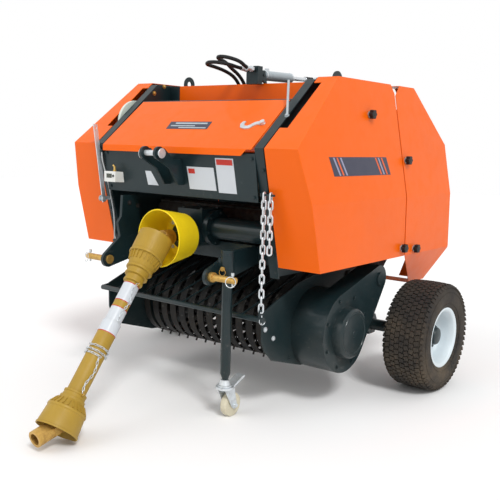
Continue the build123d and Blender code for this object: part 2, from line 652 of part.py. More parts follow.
ramp_y = 428.0
ramp_z = 452.0
ramp_angle = math.atan2(ramp_z - pickup_z, ramp_y - pickup_y)
tangent = ramp_angle + math.acos(band_r / math.hypot(ramp_y - pickup_y, ramp_z - pickup_z))
touch = (pickup_y + band_r * math.cos(tangent), pickup_z + band_r * math.sin(tangent))
front = (pickup_y - band_r, pickup_z)
under = math.radians(285)
low_end = (pickup_y + band_r * math.cos(under), pickup_z + band_r * math.sin(under))
middle_turn = (tangent + under) / 2
middle = (pickup_y + band_r * math.cos(middle_turn), pickup_z + band_r * math.sin(middle_turn))
path = Line((ramp_y, ramp_z), touch) + ThreePointArc(touch, middle, low_end)
path += Line(low_end, (rear_tube_y, rear_tube_z - 14))
band_face = Plane.YZ * trace(path, band_t)
bands = None
for index in range(band_count):
    bx = (index - (band_count - 1) / 2) * band_pitch
    band = Pos(bx - band_w / 2, 0, 0) * extrude(band_face, amount=band_w, dir=(1, 0, 0))
    bands = band if bands is None else bands + band
band_bar = plate_in - 6
bands += block(-band_bar, band_bar, ramp_y - 4, ramp_y + 2, ramp_z - 8, ramp_z + 2)
bands += rod((-pickup_plate_x, rear_tube_y, rear_tube_z), (pickup_plate_x, rear_tube_y, rear_tube_z), 14)
pieces["stripper_bands"] = bands

# Pan behind the bands, between the tines and the starter roller
pan_y = pickup_y + tine_reach + 8.0
pan_sheet = 3.0
pan_top_z = ramp_z - 12.0
feed_pan = slab([(ramp_y + 2, ramp_z - 6), (pan_y - pan_sheet / 2, pan_top_z - pan_sheet),
                 (pan_y - pan_sheet / 2, rear_tube_z), (pan_y + pan_sheet / 2, rear_tube_z),
                 (pan_y + pan_sheet / 2, pan_top_z), (ramp_y + 2, ramp_z - 6 + pan_sheet)], -band_bar, band_bar)
feed_pan -= rod((-pickup_plate_x, rear_tube_y, rear_tube_z), (pickup_plate_x, rear_tube_y, rear_tube_z), 14)
pieces["feed_pan"] = feed_pan

reel = rod((-pickup_plate_x - 20, pickup_y, pickup_z), (pickup_plate_x + 20, pickup_y, pickup_z), roller_shaft_r)
reel += rod((-pickup_plate_x + 12, pickup_y, pickup_z), (pickup_plate_x - 12, pickup_y, pickup_z), reel_tube_r)
for side in (-1, 0, 1):
    disc_x = side * (pickup_plate_x - 20)
    reel += rod((disc_x - 2, pickup_y, pickup_z), (disc_x + 2, pickup_y, pickup_z), tine_bar_ring + 14)
for bar in range(tine_bars):
    turn = math.radians(45 + 360.0 / tine_bars * bar)
    by = pickup_y + tine_bar_ring * math.cos(turn)
    bz = pickup_z + tine_bar_ring * math.sin(turn)
    reel += rod((-pickup_plate_x + 14, by, bz), (pickup_plate_x - 14, by, bz), tine_bar_r)
    for index in range(band_count - 1):
        tx = (index - (band_count - 2) / 2) * band_pitch
        ty = pickup_y + tine_reach * math.cos(turn + 0.25)
        tz = pickup_z + tine_reach * math.sin(turn + 0.25)
        way = Plane(origin=(tx, by, bz), z_dir=(0, ty - by, tz - bz), x_dir=(1, 0, 0))
        length = math.hypot(ty - by, tz - bz)
        reel += way * Box(2 * tine_r, 2 * tine_r, length, align=(Align.CENTER, Align.CENTER, Align.MIN))
pieces["pickup_reel"] = reel

# Chain case of the pickup, on its left end
case_back_x = chaincase_in + case_step
gap = math.hypot(pivot_y - pickup_y, pivot_z - pickup_z)
lean = math.atan2(pivot_z - pickup_z, pivot_y - pickup_y)
side_turn = math.acos((chaincase_r - chaincase_top_r) / gap)


def case_body(thinner, low_x, back_x, high_x):
    """Round end, tapering run and small round end of the case, each thinner by a sheet."""
    low_r = chaincase_r - thinner
    top_r = chaincase_top_r - thinner
    belt = []
    for turn, first in ((lean + side_turn, True), (lean - side_turn, False)):
        big = (pickup_y + low_r * math.cos(turn), pickup_z + low_r * math.sin(turn))
        small = (pivot_y + top_r * math.cos(turn), pivot_z + top_r * math.sin(turn))
        belt += [big, small] if first else [small, big]
    body = rod((low_x, pickup_y, pickup_z), (high_x, pickup_y, pickup_z), low_r)
    return body + rod((back_x, pivot_y, pivot_z), (high_x, pivot_y, pivot_z), top_r) + slab(belt, back_x, high_x)


case = case_body(0, chaincase_in, case_back_x, chaincase_x)
case -= case_body(case_sheet, chaincase_in, case_back_x + case_sheet, chaincase_x - case_sheet)
case += turned([(0, 0), (0, boss_r), (boss_x - chaincase_x - 6, boss_r - 4), (boss_x - chaincase_x, boss_r - 12),
                (boss_x - chaincase_x, 0)], (chaincase_x, pickup_y, pickup_z), (1, 0, 0))
case += rod((chaincase_x, pivot_y, pivot_z), (chaincase_x + small_boss_h, pivot_y, pivot_z), small_boss_r)
pieces["pickup_chaincase"] = case

# Chain from the hook on the left flange down to the guard bar, and its free end
link_pitch = link_inner - link_gap
link_width = 20.0


def chain_link(cx, cy, cz, crossed):
    """One link, standing; every second one is turned a quarter."""
    outer = SlotCenterToCenter(link_inner + 2 * link_wire - link_width, link_width)
    inner = SlotCenterToCenter(link_inner - (link_width - 2 * link_wire), link_width - 2 * link_wire)
    ring = Rot(0, 0, 90) * (outer - inner)
    plane = Plane(origin=(cx, cy, cz), x_dir=(0, 1, 0) if crossed else (1, 0, 0),
                  z_dir=(1, 0, 0) if crossed else (0, -1, 0))
    return extrude(plane * ring, amount=link_wire / 2, both=True)


strands = []
bar_top = guard_bar_z + guard_bar_r
taut_links = int((chain_hook_z - bar_top) / link_pitch)
for column, count, top in ((0, taut_links, chain_hook_z), (1, free_links, chain_hook_z)):
    for index in range(count):
        height = top - link_pitch * (index + 0.5)
        strands.append(chain_link(chain_x - 12 + 26 * column, chain_y, height, index % 2 == 0))
pieces["lift_chain"] = loose(strands)
last_z = chain_hook_z - link_pitch * (taut_links - 0.5) - link_inner / 2 - link_wire / 2
eye = block(chain_x - 12 - 2.5, chain_x - 12 + 2.5, chain_y - 9, chain_y + 9, guard_bar_z, last_z + 10)
eye -= rod((chain_x - 20, chain_y, last_z), (chain_x - 4, chain_y, last_z), 5.2)
pieces["wind_guard"] = guard_bar + eye

# Twine disc, standing out through the slot of the right cover
disc = rod((-disc_in - 12, disc_y, disc_z), (-disc_in, disc_y, disc_z), disc_r, spindle_r + bore_gap)
pieces["twine_disc"] = disc

# Counter, hand lever and rear cylinder
panel_slope = (panel_low_y - panel_top_y) / (panel_top_z - panel_low_z)
counter_back = [(panel_low_y - (counter_low - panel_low_z) * panel_slope, counter_low),
                (panel_low_y - (counter_top - panel_low_z) * panel_slope, counter_top)]
pieces["bale_counter"] = slab(counter_back + [(-22, counter_top + 2), (-22, counter_low + 2)],
                              -counter_out, -counter_in)
lever = slab([(-30, 952), (-12, 952), (30, 668), (14, 664)], -374, -370)
lever -= rod((-376, -20, 938), (-368, -20, 938), 5)
lever_pivot_z = 680.0
lever += rod((-372, 10, lever_pivot_z), (-372, front_line(lever_pivot_z + 7), lever_pivot_z), 7)
pieces["hand_lever"] = lever

ram_way = Vector(0, ram_lug_y - ram_front_y, ram_lug_z - ram_z).normalized()


def along_ram(distance):
    at = Vector(ram_x, ram_front_y, ram_z) + ram_way * distance
    return (at.X, at.Y, at.Z)


mount = None
for side in (-1, 1):
    low = ram_x + side * 17 - 4
    ear = slab([(ram_front_y - 16, ram_z - 14), (ram_front_y - 16, ram_z + 14), (ram_front_y + 8, ram_z + 14),
                (box_back_y + 22, box_top_z - 40), (box_back_y, box_top_z - 60), (box_back_y, box_top_z)],
               low, low + 8)
    mount = ear if mount is None else mount + ear
mount += block(ram_x - 21, ram_x + 21, box_back_y, box_back_y + 5, box_top_z - 110, box_top_z - 40)
mount += rod((ram_x - 24, ram_front_y, ram_z), (ram_x + 24, ram_front_y, ram_z), 6)
ports = (ram_x - port_apart / 2, ram_x + port_apart / 2)
block_front = ram_front_y - 43
port_front = block_front - 22
mount += block(ram_x - 26, ram_x + 26, block_front, ram_front_y - 15, ram_z - 35, port_z + 12)
hose_shelf = hose_end_z - 20
mount += block(ports[0] - hose_width - 14, ports[1] - hose_width + 14, box_back_y, hose_end_y + 12, hose_shelf - 4,
               hose_shelf)
for port_x in ports:
    mount += rod((port_x, port_front, port_z), (port_x, block_front, port_z), hose_r + 2.5)
    far_x = port_x - hose_width
    mount += rod((far_x, hose_end_y, hose_shelf), (far_x, hose_end_y, hose_end_z), hose_r + 2.5)
pieces["box_brackets"] = ends + mount
ram = rod(along_ram(24), along_ram(ram_length), ram_r)
ram += rod(along_ram(0), along_ram(24), 11)
ram += rod((ram_x - 12, ram_front_y, ram_z), (ram_x + 12, ram_front_y, ram_z), 13)
ram -= rod((ram_x - 12, ram_front_y, ram_z), (ram_x + 12, ram_front_y, ram_z), 6 + bore_gap)
ram -= rod(along_ram(30), along_ram(ram_length), ram_rod_r + bore_gap)
pieces["ram_barrel"] = ram
span = (Vector(0, ram_lug_y - ram_front_y, ram_lug_z - ram_z)).length
piston = rod(along_ram(100), along_ram(span - 12), ram_rod_r)
piston += rod(along_ram(span - 74), along_ram(span - 14), 11)
piston += rod((ram_x - 11, ram_lug_y, ram_lug_z), (ram_x + 11, ram_lug_y, ram_lug_z), 13)
pieces["ram_rod"] = piston

# Drive shaft: joint crosses, guarded halves and the end yoke with its splined bore
down = math.radians(shaft_down)
aside = math.radians(shaft_side)
level = Vector(0, -math.cos(down), -math.sin(down))
shaft_way = level * math.cos(aside) + Vector(1, 0, 0) * math.sin(aside)
swing_axis = Vector(1, 0, 0).cross(level)
near = Vector(0, joint_y, axis_z)


def on_shaft(distance):
    at = near + shaft_way * distance
    return (at.X, at.Y, at.Z)


def joint_cross(centre, one, two):
    body = Pos(*centre) * Sphere(cross_hub_r)
    for way in (one, two):
        a = centre - way * cross_half
        b = centre + way * cross_half
        arm = rod((a.X, a.Y, a.Z), (b.X, b.Y, b.Z), cross_r)
        body += arm
    return body


def fork_yoke(centre, pin_way, back, hub_end):
    """Yoke: two ears on the cross pins, joined behind the cross to a hub along back."""
    body = None
    for side in (-1, 1):
        inner = centre + pin_way * (side * 17)
        outer = centre + pin_way * (side * 27)
        ear = rod((inner.X, inner.Y, inner.Z), (outer.X, outer.Y, outer.Z), 15)
        plane = Plane(origin=tuple(centre + pin_way * (side * 22)), z_dir=tuple(back), x_dir=tuple(pin_way))
        ear += plane * Box(10, 26, 40, align=(Align.CENTER, Align.CENTER, Align.MIN))
        ear -= rod((inner.X, inner.Y, inner.Z), (outer.X, outer.Y, outer.Z), cross_r + bore_gap)
        body = ear if body is None else body + ear
    a = centre + back * 32
    b = centre + back * hub_end
    return body + rod((a.X, a.Y, a.Z), (b.X, b.Y, b.Z), yoke_hub_r)


across = Vector(1, 0, 0)
pieces["input_yoke"] = fork_yoke(near, across, Vector(0, 1, 0), 74)
pieces["joint_cross_near"] = joint_cross(near, across, swing_axis)
upper = fork_yoke(near, swing_axis, shaft_way, upper_hub)
cup = turned([(-4, cup_r - 3), (-4, cup_r), (74, cup_r - 3), (82, cup_r - 8), (128, 42), (134, 38), (152, 37),
              (152, 31), (176, 31), (176, guard_r), (guard_end, guard_r), (guard_end, outer_tube_r + 0.2),
              (upper_hub + 2, outer_tube_r + 0.2), (upper_hub + 2, 38), (74, cup_r - 12),
              (70, cup_r - 6)], on_shaft(0), tuple(shaft_way))
upper += rod(on_shaft(upper_hub), on_shaft(tube_end), outer_tube_r)
pieces["shaft_upper"] = upper - rod(on_shaft(upper_bore), on_shaft(tube_end), inner_tube_r)
pieces["guard_upper"] = cup
far = Vector(*on_shaft(shaft_length - joint_back))
end_way = Vector(0, -math.cos(math.radians(end_down)), -math.sin(math.radians(end_down)))
low_s = shaft_length
sleeve_r = guard_r + sleeve_gap
sleeve_out = sleeve_r + 3.4
cone = turned([(low_s, low_cup_r), (low_s, low_cup_r - 3), (low_s - 62, cup_r - 6), (low_s - 100, 33),
               (low_s - 106, inner_tube_r), (low_s - 112, inner_tube_r), (low_s - 112, sleeve_r), (sleeve_start, sleeve_r),
               (sleeve_start, sleeve_out), (low_s - 126, sleeve_out), (low_s - 126, 34), (low_s - 104, 37),
               (low_s - 66, cup_r)], on_shaft(0), tuple(shaft_way))
pieces["guard_lower"] = cone
back_way = shaft_way * -1
lower = fork_yoke(far, swing_axis, back_way, 66)
lower += rod(on_shaft(bar_start), on_shaft(shaft_length - joint_back - 60), inner_tube_r - bore_gap)
pieces["shaft_lower"] = lower
end_cross_way = across
pieces["joint_cross_far"] = joint_cross(far, end_cross_way, swing_axis)
end_yoke = fork_yoke(far, end_cross_way, end_way, end_reach)
tip = far + end_way * end_reach
root = far + end_way * 36
end_yoke -= rod((root.X, root.Y, root.Z), (tip.X, tip.Y, tip.Z), spline_r)
pieces["end_yoke"] = end_yoke


def cord(points, radius):
    """Bent tube through points; each bend is as large as its two runs allow."""
    radii = []
    for before, here, after in zip(points, points[1:], points[2:]):
        run_in = Vector(*here) - Vector(*before)
        run_out = Vector(*after) - Vector(*here)
        half_turn = math.radians(run_in.get_angle(run_out)) / 2
        radii.append(0.45 * min(run_in.length, run_out.length) / math.tan(half_turn))
    path = FilletPolyline(*points, radius=radii)
    start = Plane(origin=points[0], z_dir=Vector(*points[1]) - Vector(*points[0]))
    tube = sweep(start * Circle(radius), path)
    drift = tube.volume / (math.pi * radius ** 2 * path.length)
    print("bends", [round(value) for value in radii], "length", round(path.length), "fill", round(drift, 4))
    return tube


# Each hose runs forward from its port, turns back in a level loop and ends behind the twine box
loop_side = hose_width / (1 + math.sqrt(2))
loop_part = loop_side / math.sqrt(2)
for name, port_x, first_run, turn_y, lifts in (
        ("hose_right", ports[0], 36.0, 186.0, (0.6, 8, 14, 15, 11, 7, -2, -17)),
        ("hose_left", ports[1], 26.0, 214.0, (0.6, 20, 32, 37, 34, 26, 8, -14))):
    far_x = port_x - hose_width
    route = [(port_x, port_front, port_z), (port_x, port_front - first_run, port_z + lifts[0]),
             (port_x, turn_y, port_z + lifts[1]),
             (port_x - loop_part, turn_y - loop_part, port_z + lifts[2]),
             (far_x + loop_part, turn_y - loop_part, port_z + lifts[3]),
             (far_x, turn_y, port_z + lifts[4]), (far_x, turn_y + 46, port_z + lifts[5]),
             (far_x, box_back_y - 62, port_z + lifts[6]), (far_x, box_back_y - 12, port_z + lifts[7]),
             (far_x, hose_end_y - 12, box_top_z - 1), (far_x, hose_end_y, hose_end_z + 30),
             (far_x, hose_end_y, hose_end_z)]
    pieces[name] = cord(route, hose_r)

# Cable beside the counter, from one clip on the right flange to the other
cable_route = [(0, cable_top[1], 829), (-2, 10, 798), (0, 27, 747), (-2, 43, 690), (-1, 55, 640), (-10, 69, 588),
               (-22, cable_low[1], 548)]
cable_way = [(-plate_out + x, y, z) for x, y, z in cable_route]
pieces["counter_cable"] = cord([cable_top] + cable_way + [cable_low], cable_r)

os.makedirs("parts", exist_ok=True)
boxes = [shape.bounding_box() for shape in pieces.values()]
middle_y = (min(b.min.Y for b in boxes) + max(b.max.Y for b in boxes)) / 2
print("moved along Y by", round(-middle_y, 3))
print("lowest point", round(min(b.min.Z for b in boxes), 3))
for name, shape in pieces.items():
    moved = Pos(0, -middle_y, 0) * shape
    export_step(moved, "parts/" + name + ".step")
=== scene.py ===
import bpy
import bmesh
import json
import math
from mathutils import Matrix, Vector


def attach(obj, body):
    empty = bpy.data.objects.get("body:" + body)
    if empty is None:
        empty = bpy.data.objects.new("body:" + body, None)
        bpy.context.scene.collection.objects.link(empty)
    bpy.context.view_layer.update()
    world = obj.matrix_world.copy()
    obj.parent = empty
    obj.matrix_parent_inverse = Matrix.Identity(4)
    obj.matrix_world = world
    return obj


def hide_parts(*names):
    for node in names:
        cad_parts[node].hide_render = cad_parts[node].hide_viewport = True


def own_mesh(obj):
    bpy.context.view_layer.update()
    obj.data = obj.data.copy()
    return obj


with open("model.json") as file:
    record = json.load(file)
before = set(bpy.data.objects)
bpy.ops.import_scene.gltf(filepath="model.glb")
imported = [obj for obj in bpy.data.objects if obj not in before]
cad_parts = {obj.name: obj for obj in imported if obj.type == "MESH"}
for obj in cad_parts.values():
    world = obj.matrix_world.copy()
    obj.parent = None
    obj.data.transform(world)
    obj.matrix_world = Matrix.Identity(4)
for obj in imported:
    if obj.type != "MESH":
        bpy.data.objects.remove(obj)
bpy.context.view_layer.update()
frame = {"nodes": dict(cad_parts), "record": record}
record = frame["record"]
nodeBody = {node: body for body, nodes in record["behaviour"]["bodies"].items() for node in nodes}
ahead = 0.219251      # the drawing's y = 0, the front edge of the covers, lies this far in front of the origin

print("stage: frame loaded,", len(frame["nodes"]), "nodes")


# Drawing place in millimetres to a place in the shared frame
def mm(x, y, z):
    return Vector((x / 1000, y / 1000 - ahead, z / 1000))


# Screen colour (0 to 255) as the linear colour that shaders take
def colour(red, green, blue):
    out = []
    for value in (red, green, blue):
        value /= 255
        out.append(value / 12.92 if value <= 0.04045 else ((value + 0.055) / 1.055) ** 2.4)
    return (*out, 1.0)


# Shader groups that several finishes share. An input given as a tuple is a colour
outputKinds = {"Colour": "NodeSocketColor", "Normal": "NodeSocketVector"}


def newGroup(name, inputs, outputs):
    group = bpy.data.node_groups.new(name, "ShaderNodeTree")
    for label, value in inputs.items():
        kind = "NodeSocketColor" if isinstance(value, tuple) else "NodeSocketFloat"
        group.interface.new_socket(name=label, in_out="INPUT", socket_type=kind).default_value = value
    for label in outputs:
        kind = outputKinds.get(label, "NodeSocketFloat")
        group.interface.new_socket(name=label, in_out="OUTPUT", socket_type=kind)
    return group, group.nodes.new("NodeGroupInput"), group.nodes.new("NodeGroupOutput")


# A number or a colour is set on the socket, anything else is linked to it
def feed(tree, socket, value):
    if isinstance(value, (int, float, tuple)):
        socket.default_value = value
    else:
        tree.links.new(value, socket)


def closeGroup(group, leave, *values):
    for socket, value in zip(leave.inputs, values):
        group.links.new(value, socket)


def mathNode(tree, operation, first, second, clamp=False):
    node = tree.nodes.new("ShaderNodeMath")
    node.operation = operation
    node.use_clamp = clamp
    feed(tree, node.inputs[0], first)
    feed(tree, node.inputs[1], second)
    return node.outputs[0]


# The Mix node keeps its colour sockets at 6 and 7, and their result at 2
def blendColour(tree, factor, first, second, mode="MIX"):
    node = tree.nodes.new("ShaderNodeMix")
    node.data_type = "RGBA"
    node.blend_type = mode
    for index, value in ((0, factor), (6, first), (7, second)):
        feed(tree, node.inputs[index], value)
    return node.outputs[2]


def noiseField(tree, place, scale, detail=3.0, rough=0.5, stretch=None):
    if stretch:
        mapping = tree.nodes.new("ShaderNodeMapping")
        mapping.inputs["Scale"].default_value = stretch
        tree.links.new(place, mapping.inputs["Vector"])
        place = mapping.outputs[0]
    node = tree.nodes.new("ShaderNodeTexNoise")
    for label, value in (("Vector", place), ("Scale", scale), ("Detail", detail), ("Roughness", rough)):
        feed(tree, node.inputs[label], value)
    return node.outputs[0]


def spread(tree, value, low, high, outLow=0.0, outHigh=1.0):
    node = tree.nodes.new("ShaderNodeMapRange")
    for index, number in enumerate((value, low, high, outLow, outHigh)):
        feed(tree, node.inputs[index], number)
    return node.outputs[0]


def bumped(tree, height, strength, distance):
    node = tree.nodes.new("ShaderNodeBump")
    for label, value in (("Height", height), ("Strength", strength), ("Distance", distance)):
        feed(tree, node.inputs[label], value)
    return node.outputs[0]


def objectPlace(tree):
    return tree.nodes.new("ShaderNodeTexCoord").outputs["Object"]


# Dust and dried mud that thins out with height, broken up by two noises
def makeFieldDust():
    inputs = {"Colour": (0.5, 0.5, 0.5, 1), "Dust Colour": (0.3, 0.26, 0.2, 1), "Amount": 0.3, "Reach": 0.5}
    group, entry, leave = newGroup("fieldDust", inputs, ("Colour", "Mask"))
    place = objectPlace(group)
    parts = group.nodes.new("ShaderNodeSeparateXYZ")
    group.links.new(place, parts.inputs[0])
    fade = spread(group, parts.outputs[2], 0.0, entry.outputs["Reach"], 1.0, 0.12)
    clouds = spread(group, noiseField(group, place, 9.0, 5.0, 0.6), 0.35, 0.75)
    specks = spread(group, noiseField(group, place, 120.0, 2.0, 0.6), 0.45, 0.8)
    mask = mathNode(group, "MULTIPLY", fade, mathNode(group, "ADD", clouds, mathNode(group, "MULTIPLY", specks, 0.4)))
    mask = mathNode(group, "MULTIPLY", mask, entry.outputs["Amount"], True)
    closeGroup(group, leave, blendColour(group, mask, entry.outputs["Colour"], entry.outputs["Dust Colour"]), mask)
    return group


# Sprayed paint: slow tone drift, fine peel and a few dull patches
def makePaintSkin():
    inputs = {"Colour": (0.5, 0.1, 0.02, 1), "Drift": 0.06, "Gloss": 0.3, "Peel": 0.08}
    group, entry, leave = newGroup("paintSkin", inputs, ("Colour", "Roughness", "Normal"))
    place = objectPlace(group)
    slow = noiseField(group, place, 3.2, 3.0, 0.55)
    tone = spread(group, slow, 0.3, 0.7)
    darker = blendColour(group, 1.0, entry.outputs["Colour"], (0.78, 0.74, 0.72, 1), "MULTIPLY")
    amount = mathNode(group, "MULTIPLY", tone, mathNode(group, "MULTIPLY", entry.outputs["Drift"], 4.0))
    patches = spread(group, noiseField(group, place, 22.0, 4.0, 0.6), 0.4, 0.7, -0.03, 0.09)
    peel = noiseField(group, place, 260.0, 2.0, 0.5)
    ripple = noiseField(group, place, 5.0, 2.0, 0.4)
    height = mathNode(group, "ADD", peel, mathNode(group, "MULTIPLY", ripple, 6.0))
    closeGroup(group, leave, blendColour(group, amount, entry.outputs["Colour"], darker),
               mathNode(group, "ADD", entry.outputs["Gloss"], patches, True),
               bumped(group, height, entry.outputs["Peel"], 0.002))
    return group


# Lighter rubbed streaks and small chips
def makeRubbedMarks():
    inputs = {"Colour": (0.1, 0.1, 0.1, 1), "Mark Colour": (0.4, 0.38, 0.35, 1), "Amount": 0.3}
    group, entry, leave = newGroup("rubbedMarks", inputs, ("Colour", "Mask"))
    place = objectPlace(group)
    streaks = spread(group, noiseField(group, place, 60.0, 6.0, 0.7, (1.0, 0.25, 1.0)), 0.58, 0.72)
    where = spread(group, noiseField(group, place, 7.0, 3.0, 0.5), 0.45, 0.65)
    mask = mathNode(group, "MULTIPLY", streaks, where)
    mask = mathNode(group, "MULTIPLY", mask, entry.outputs["Amount"], True)
    closeGroup(group, leave, blendColour(group, mask, entry.outputs["Colour"], entry.outputs["Mark Colour"]), mask)
    return group


# Fine grain of moulded plastic and rubber
def makeMouldedGrain():
    inputs = {"Colour": (0.5, 0.5, 0.5, 1), "Gloss": 0.45, "Grain": 0.15, "Scale": 500.0}
    group, entry, leave = newGroup("mouldedGrain", inputs, ("Colour", "Roughness", "Normal"))
    place = objectPlace(group)
    slow = spread(group, noiseField(group, place, 14.0, 4.0, 0.6), 0.35, 0.7)
    darker = blendColour(group, 1.0, entry.outputs["Colour"], (0.8, 0.78, 0.72, 1), "MULTIPLY")
    patches = mathNode(group, "MULTIPLY", slow, 0.14)
    grain = noiseField(group, place, entry.outputs["Scale"], 3.0, 0.6)
    closeGroup(group, leave,
               blendColour(group, mathNode(group, "MULTIPLY", slow, 0.45), entry.outputs["Colour"], darker),
               mathNode(group, "ADD", entry.outputs["Gloss"], patches, True),
               bumped(group, grain, entry.outputs["Grain"], 0.001))
    return group


# Plated or bare steel: cloudy tone, fine drawn lines and dull spots
def makePlatedSteel():
    inputs = {"Colour": (0.6, 0.6, 0.6, 1), "Tarnish Colour": (0.3, 0.25, 0.2, 1), "Tarnish": 0.3, "Gloss": 0.35}
    group, entry, leave = newGroup("platedSteel", inputs, ("Colour", "Roughness", "Normal"))
    place = objectPlace(group)
    cloud = spread(group, noiseField(group, place, 40.0, 5.0, 0.65), 0.42, 0.72)
    mask = mathNode(group, "MULTIPLY", cloud, entry.outputs["Tarnish"], True)
    patches = mathNode(group, "MULTIPLY", mask, 0.5)
    lines = noiseField(group, place, 300.0, 3.0, 0.6, (1.0, 1.0, 0.15))
    closeGroup(group, leave, blendColour(group, mask, entry.outputs["Colour"], entry.outputs["Tarnish Colour"]),
               mathNode(group, "ADD", entry.outputs["Gloss"], patches, True), bumped(group, lines, 0.12, 0.0008))
    return group


fieldDust = makeFieldDust()
paintSkin = makePaintSkin()
rubbedMarks = makeRubbedMarks()
mouldedGrain = makeMouldedGrain()
platedSteel = makePlatedSteel()


def useGroup(tree, group, **values):
    node = tree.nodes.new("ShaderNodeGroup")
    node.node_tree = group
    for label, value in values.items():
        feed(tree, node.inputs[label.replace("_", " ")], value)
    return node


def blankMaterial(name):
    material = bpy.data.materials.new(name)
    material.use_nodes = True
    tree = material.node_tree
    return material, tree, tree.nodes["Principled BSDF"]


# Finishes: what a user would change is in these tables. Each base holds for what its finishes leave out, and each
# finish names the record's slot that it belongs to
paintBase = {"gloss": 0.38, "dust": 0.04, "marks": 0.1, "coat": 0.1, "shine": 0.3}
paints = {
    "orangePaint": {"slot": "orange_paint", "tone": (244, 102, 0), "gloss": 0.36, "dust": 0.03, "marks": 0.03,
                    "coat": 0.06, "shine": 0.2},
    "slatePaint": {"slot": "frame_paint", "tone": (22, 40, 44), "gloss": 0.34, "dust": 0.06, "marks": 0.14,
                   "coat": 0.12},
    "bandPaint": {"slot": "frame_paint", "tone": (22, 24, 26), "gloss": 0.46, "dust": 0.10, "marks": 0.4,
                  "coat": 0.0, "shine": 0.15},
    "ramPaint": {"slot": "ram_paint", "tone": (172, 184, 190), "gloss": 0.3, "dust": 0.06, "marks": 0.2,
                 "coat": 0.2, "shine": 0.5},
    "rimPaint": {"slot": "rim_paint", "tone": (222, 234, 240), "gloss": 0.34, "dust": 0.14, "marks": 0.2,
                 "coat": 0.0, "shine": 0.5},
    "navyPlate": {"slot": "frame_paint", "tone": (34, 36, 62), "gloss": 0.34, "dust": 0.05, "marks": 0.15,
                  "coat": 0.2, "shine": 0.4},
    "labelWhite": {"slot": "white_plastic", "tone": (206, 212, 218), "gloss": 0.40, "marks": 0.05},
    "labelRed": {"slot": "white_plastic", "tone": (196, 52, 40), "gloss": 0.40, "marks": 0.05},
    "stripePale": {"slot": "white_plastic", "tone": (150, 152, 178)},
    "stripeOrange": {"slot": "orange_paint", "tone": (226, 96, 34)},
    "windowDark": {"slot": "black_plastic", "tone": (52, 58, 40), "gloss": 0.12, "dust": 0.02, "marks": 0.0,
                   "coat": 0.6, "shine": 0.5},
}
plasticBase = {"gloss": 0.4, "grain": 0.1, "scale": 500.0, "dust": 0.1, "shine": 0.3}
plastics = {
    "shieldYellow": {"slot": "shield_plastic", "tone": (255, 222, 30), "gloss": 0.36, "grain": 0.08, "dust": 0.03},
    "guardOlive": {"slot": "guard_plastic", "tone": (172, 139, 48), "grain": 0.12, "scale": 420.0, "dust": 0.12},
    "knobBlack": {"slot": "black_plastic", "tone": (26, 26, 28), "gloss": 0.38, "scale": 600.0},
    "caseWhite": {"slot": "white_plastic", "tone": (232, 234, 232), "grain": 0.06, "scale": 700.0, "dust": 0.06},
    "castorCream": {"slot": "castor_plastic", "tone": (226, 220, 196), "dust": 0.35},
    "tyreRubber": {"slot": "tyre_rubber", "tone": (44, 43, 43), "gloss": 0.68, "grain": 0.35, "scale": 420.0,
                   "dust": 0.4, "shine": 0.2},
    "hoseRubber": {"slot": "hose_rubber", "tone": (30, 32, 34), "gloss": 0.5, "grain": 0.2, "scale": 700.0,
                   "shine": 0.2},
    "cableGrey": {"slot": "cable_grey", "tone": (196, 200, 202), "gloss": 0.45, "scale": 700.0},
    "discWhite": {"slot": "white_plastic", "tone": (214, 226, 216), "grain": 0.08, "dust": 0.08},
}
metalBase = {"gloss": 0.32}
metals = {
    "zincPlate": {"slot": "zinc", "tone": (216, 222, 226), "tarnish": (132, 128, 120), "amount": 0.4,
                  "metal": 0.55},
    "yellowZinc": {"slot": "yellow_zinc", "tone": (206, 166, 88), "tarnish": (120, 84, 48), "amount": 0.55,
                   "metal": 0.7},
    "bareSteel": {"slot": "bare_steel", "tone": (76, 73, 70), "tarnish": (52, 40, 32), "amount": 0.7,
                  "gloss": 0.46, "metal": 0.6},
    "tineSteel": {"slot": "bare_steel", "tone": (44, 43, 43), "tarnish": (36, 30, 26), "amount": 0.7,
                  "gloss": 0.60, "metal": 0.3},
    "chromeRod": {"slot": "chrome_rod", "tone": (214, 218, 222), "tarnish": (160, 160, 160), "amount": 0.15,
                  "gloss": 0.12, "metal": 0.9},
    "brassFitting": {"slot": "yellow_zinc", "tone": (206, 170, 96), "tarnish": (110, 84, 40), "amount": 0.4,
                     "gloss": 0.3, "metal": 0.7},
}
wear = {"dustTone": colour(150, 132, 108), "peel": 0.10, "coatRough": 0.12, "dustOnPaint": 0.4, "dustOnPlastic": 0.3}
finish = {}


# A skin group, then rubbed marks and dust where the finish has them
def makeFinish(name, values, skinGroup, dulling, **inputs):
    material, tree, shader = blankMaterial(name)
    skin = useGroup(tree, skinGroup, Colour=colour(*values["tone"]), Gloss=values["gloss"], **inputs)
    shown = skin.outputs["Colour"]
    rough = skin.outputs["Roughness"]
    if "marks" in values:
        shown = useGroup(tree, rubbedMarks, Colour=shown, Amount=values["marks"]).outputs["Colour"]
    if "dust" in values:
        dust = useGroup(tree, fieldDust, Colour=shown, Dust_Colour=wear["dustTone"], Amount=values["dust"])
        shown = dust.outputs["Colour"]
        rough = mathNode(tree, "ADD", rough, mathNode(tree, "MULTIPLY", dust.outputs["Mask"], dulling))
    tree.links.new(shown, shader.inputs["Base Color"])
    tree.links.new(rough, shader.inputs["Roughness"])
    tree.links.new(skin.outputs["Normal"], shader.inputs["Normal"])
    for label, key in (("Metallic", "metal"), ("Coat Weight", "coat"), ("Specular IOR Level", "shine")):
        if key in values:
            shader.inputs[label].default_value = values[key]
    if "coat" in values:
        shader.inputs["Coat Roughness"].default_value = wear["coatRough"]
    finish[name] = material


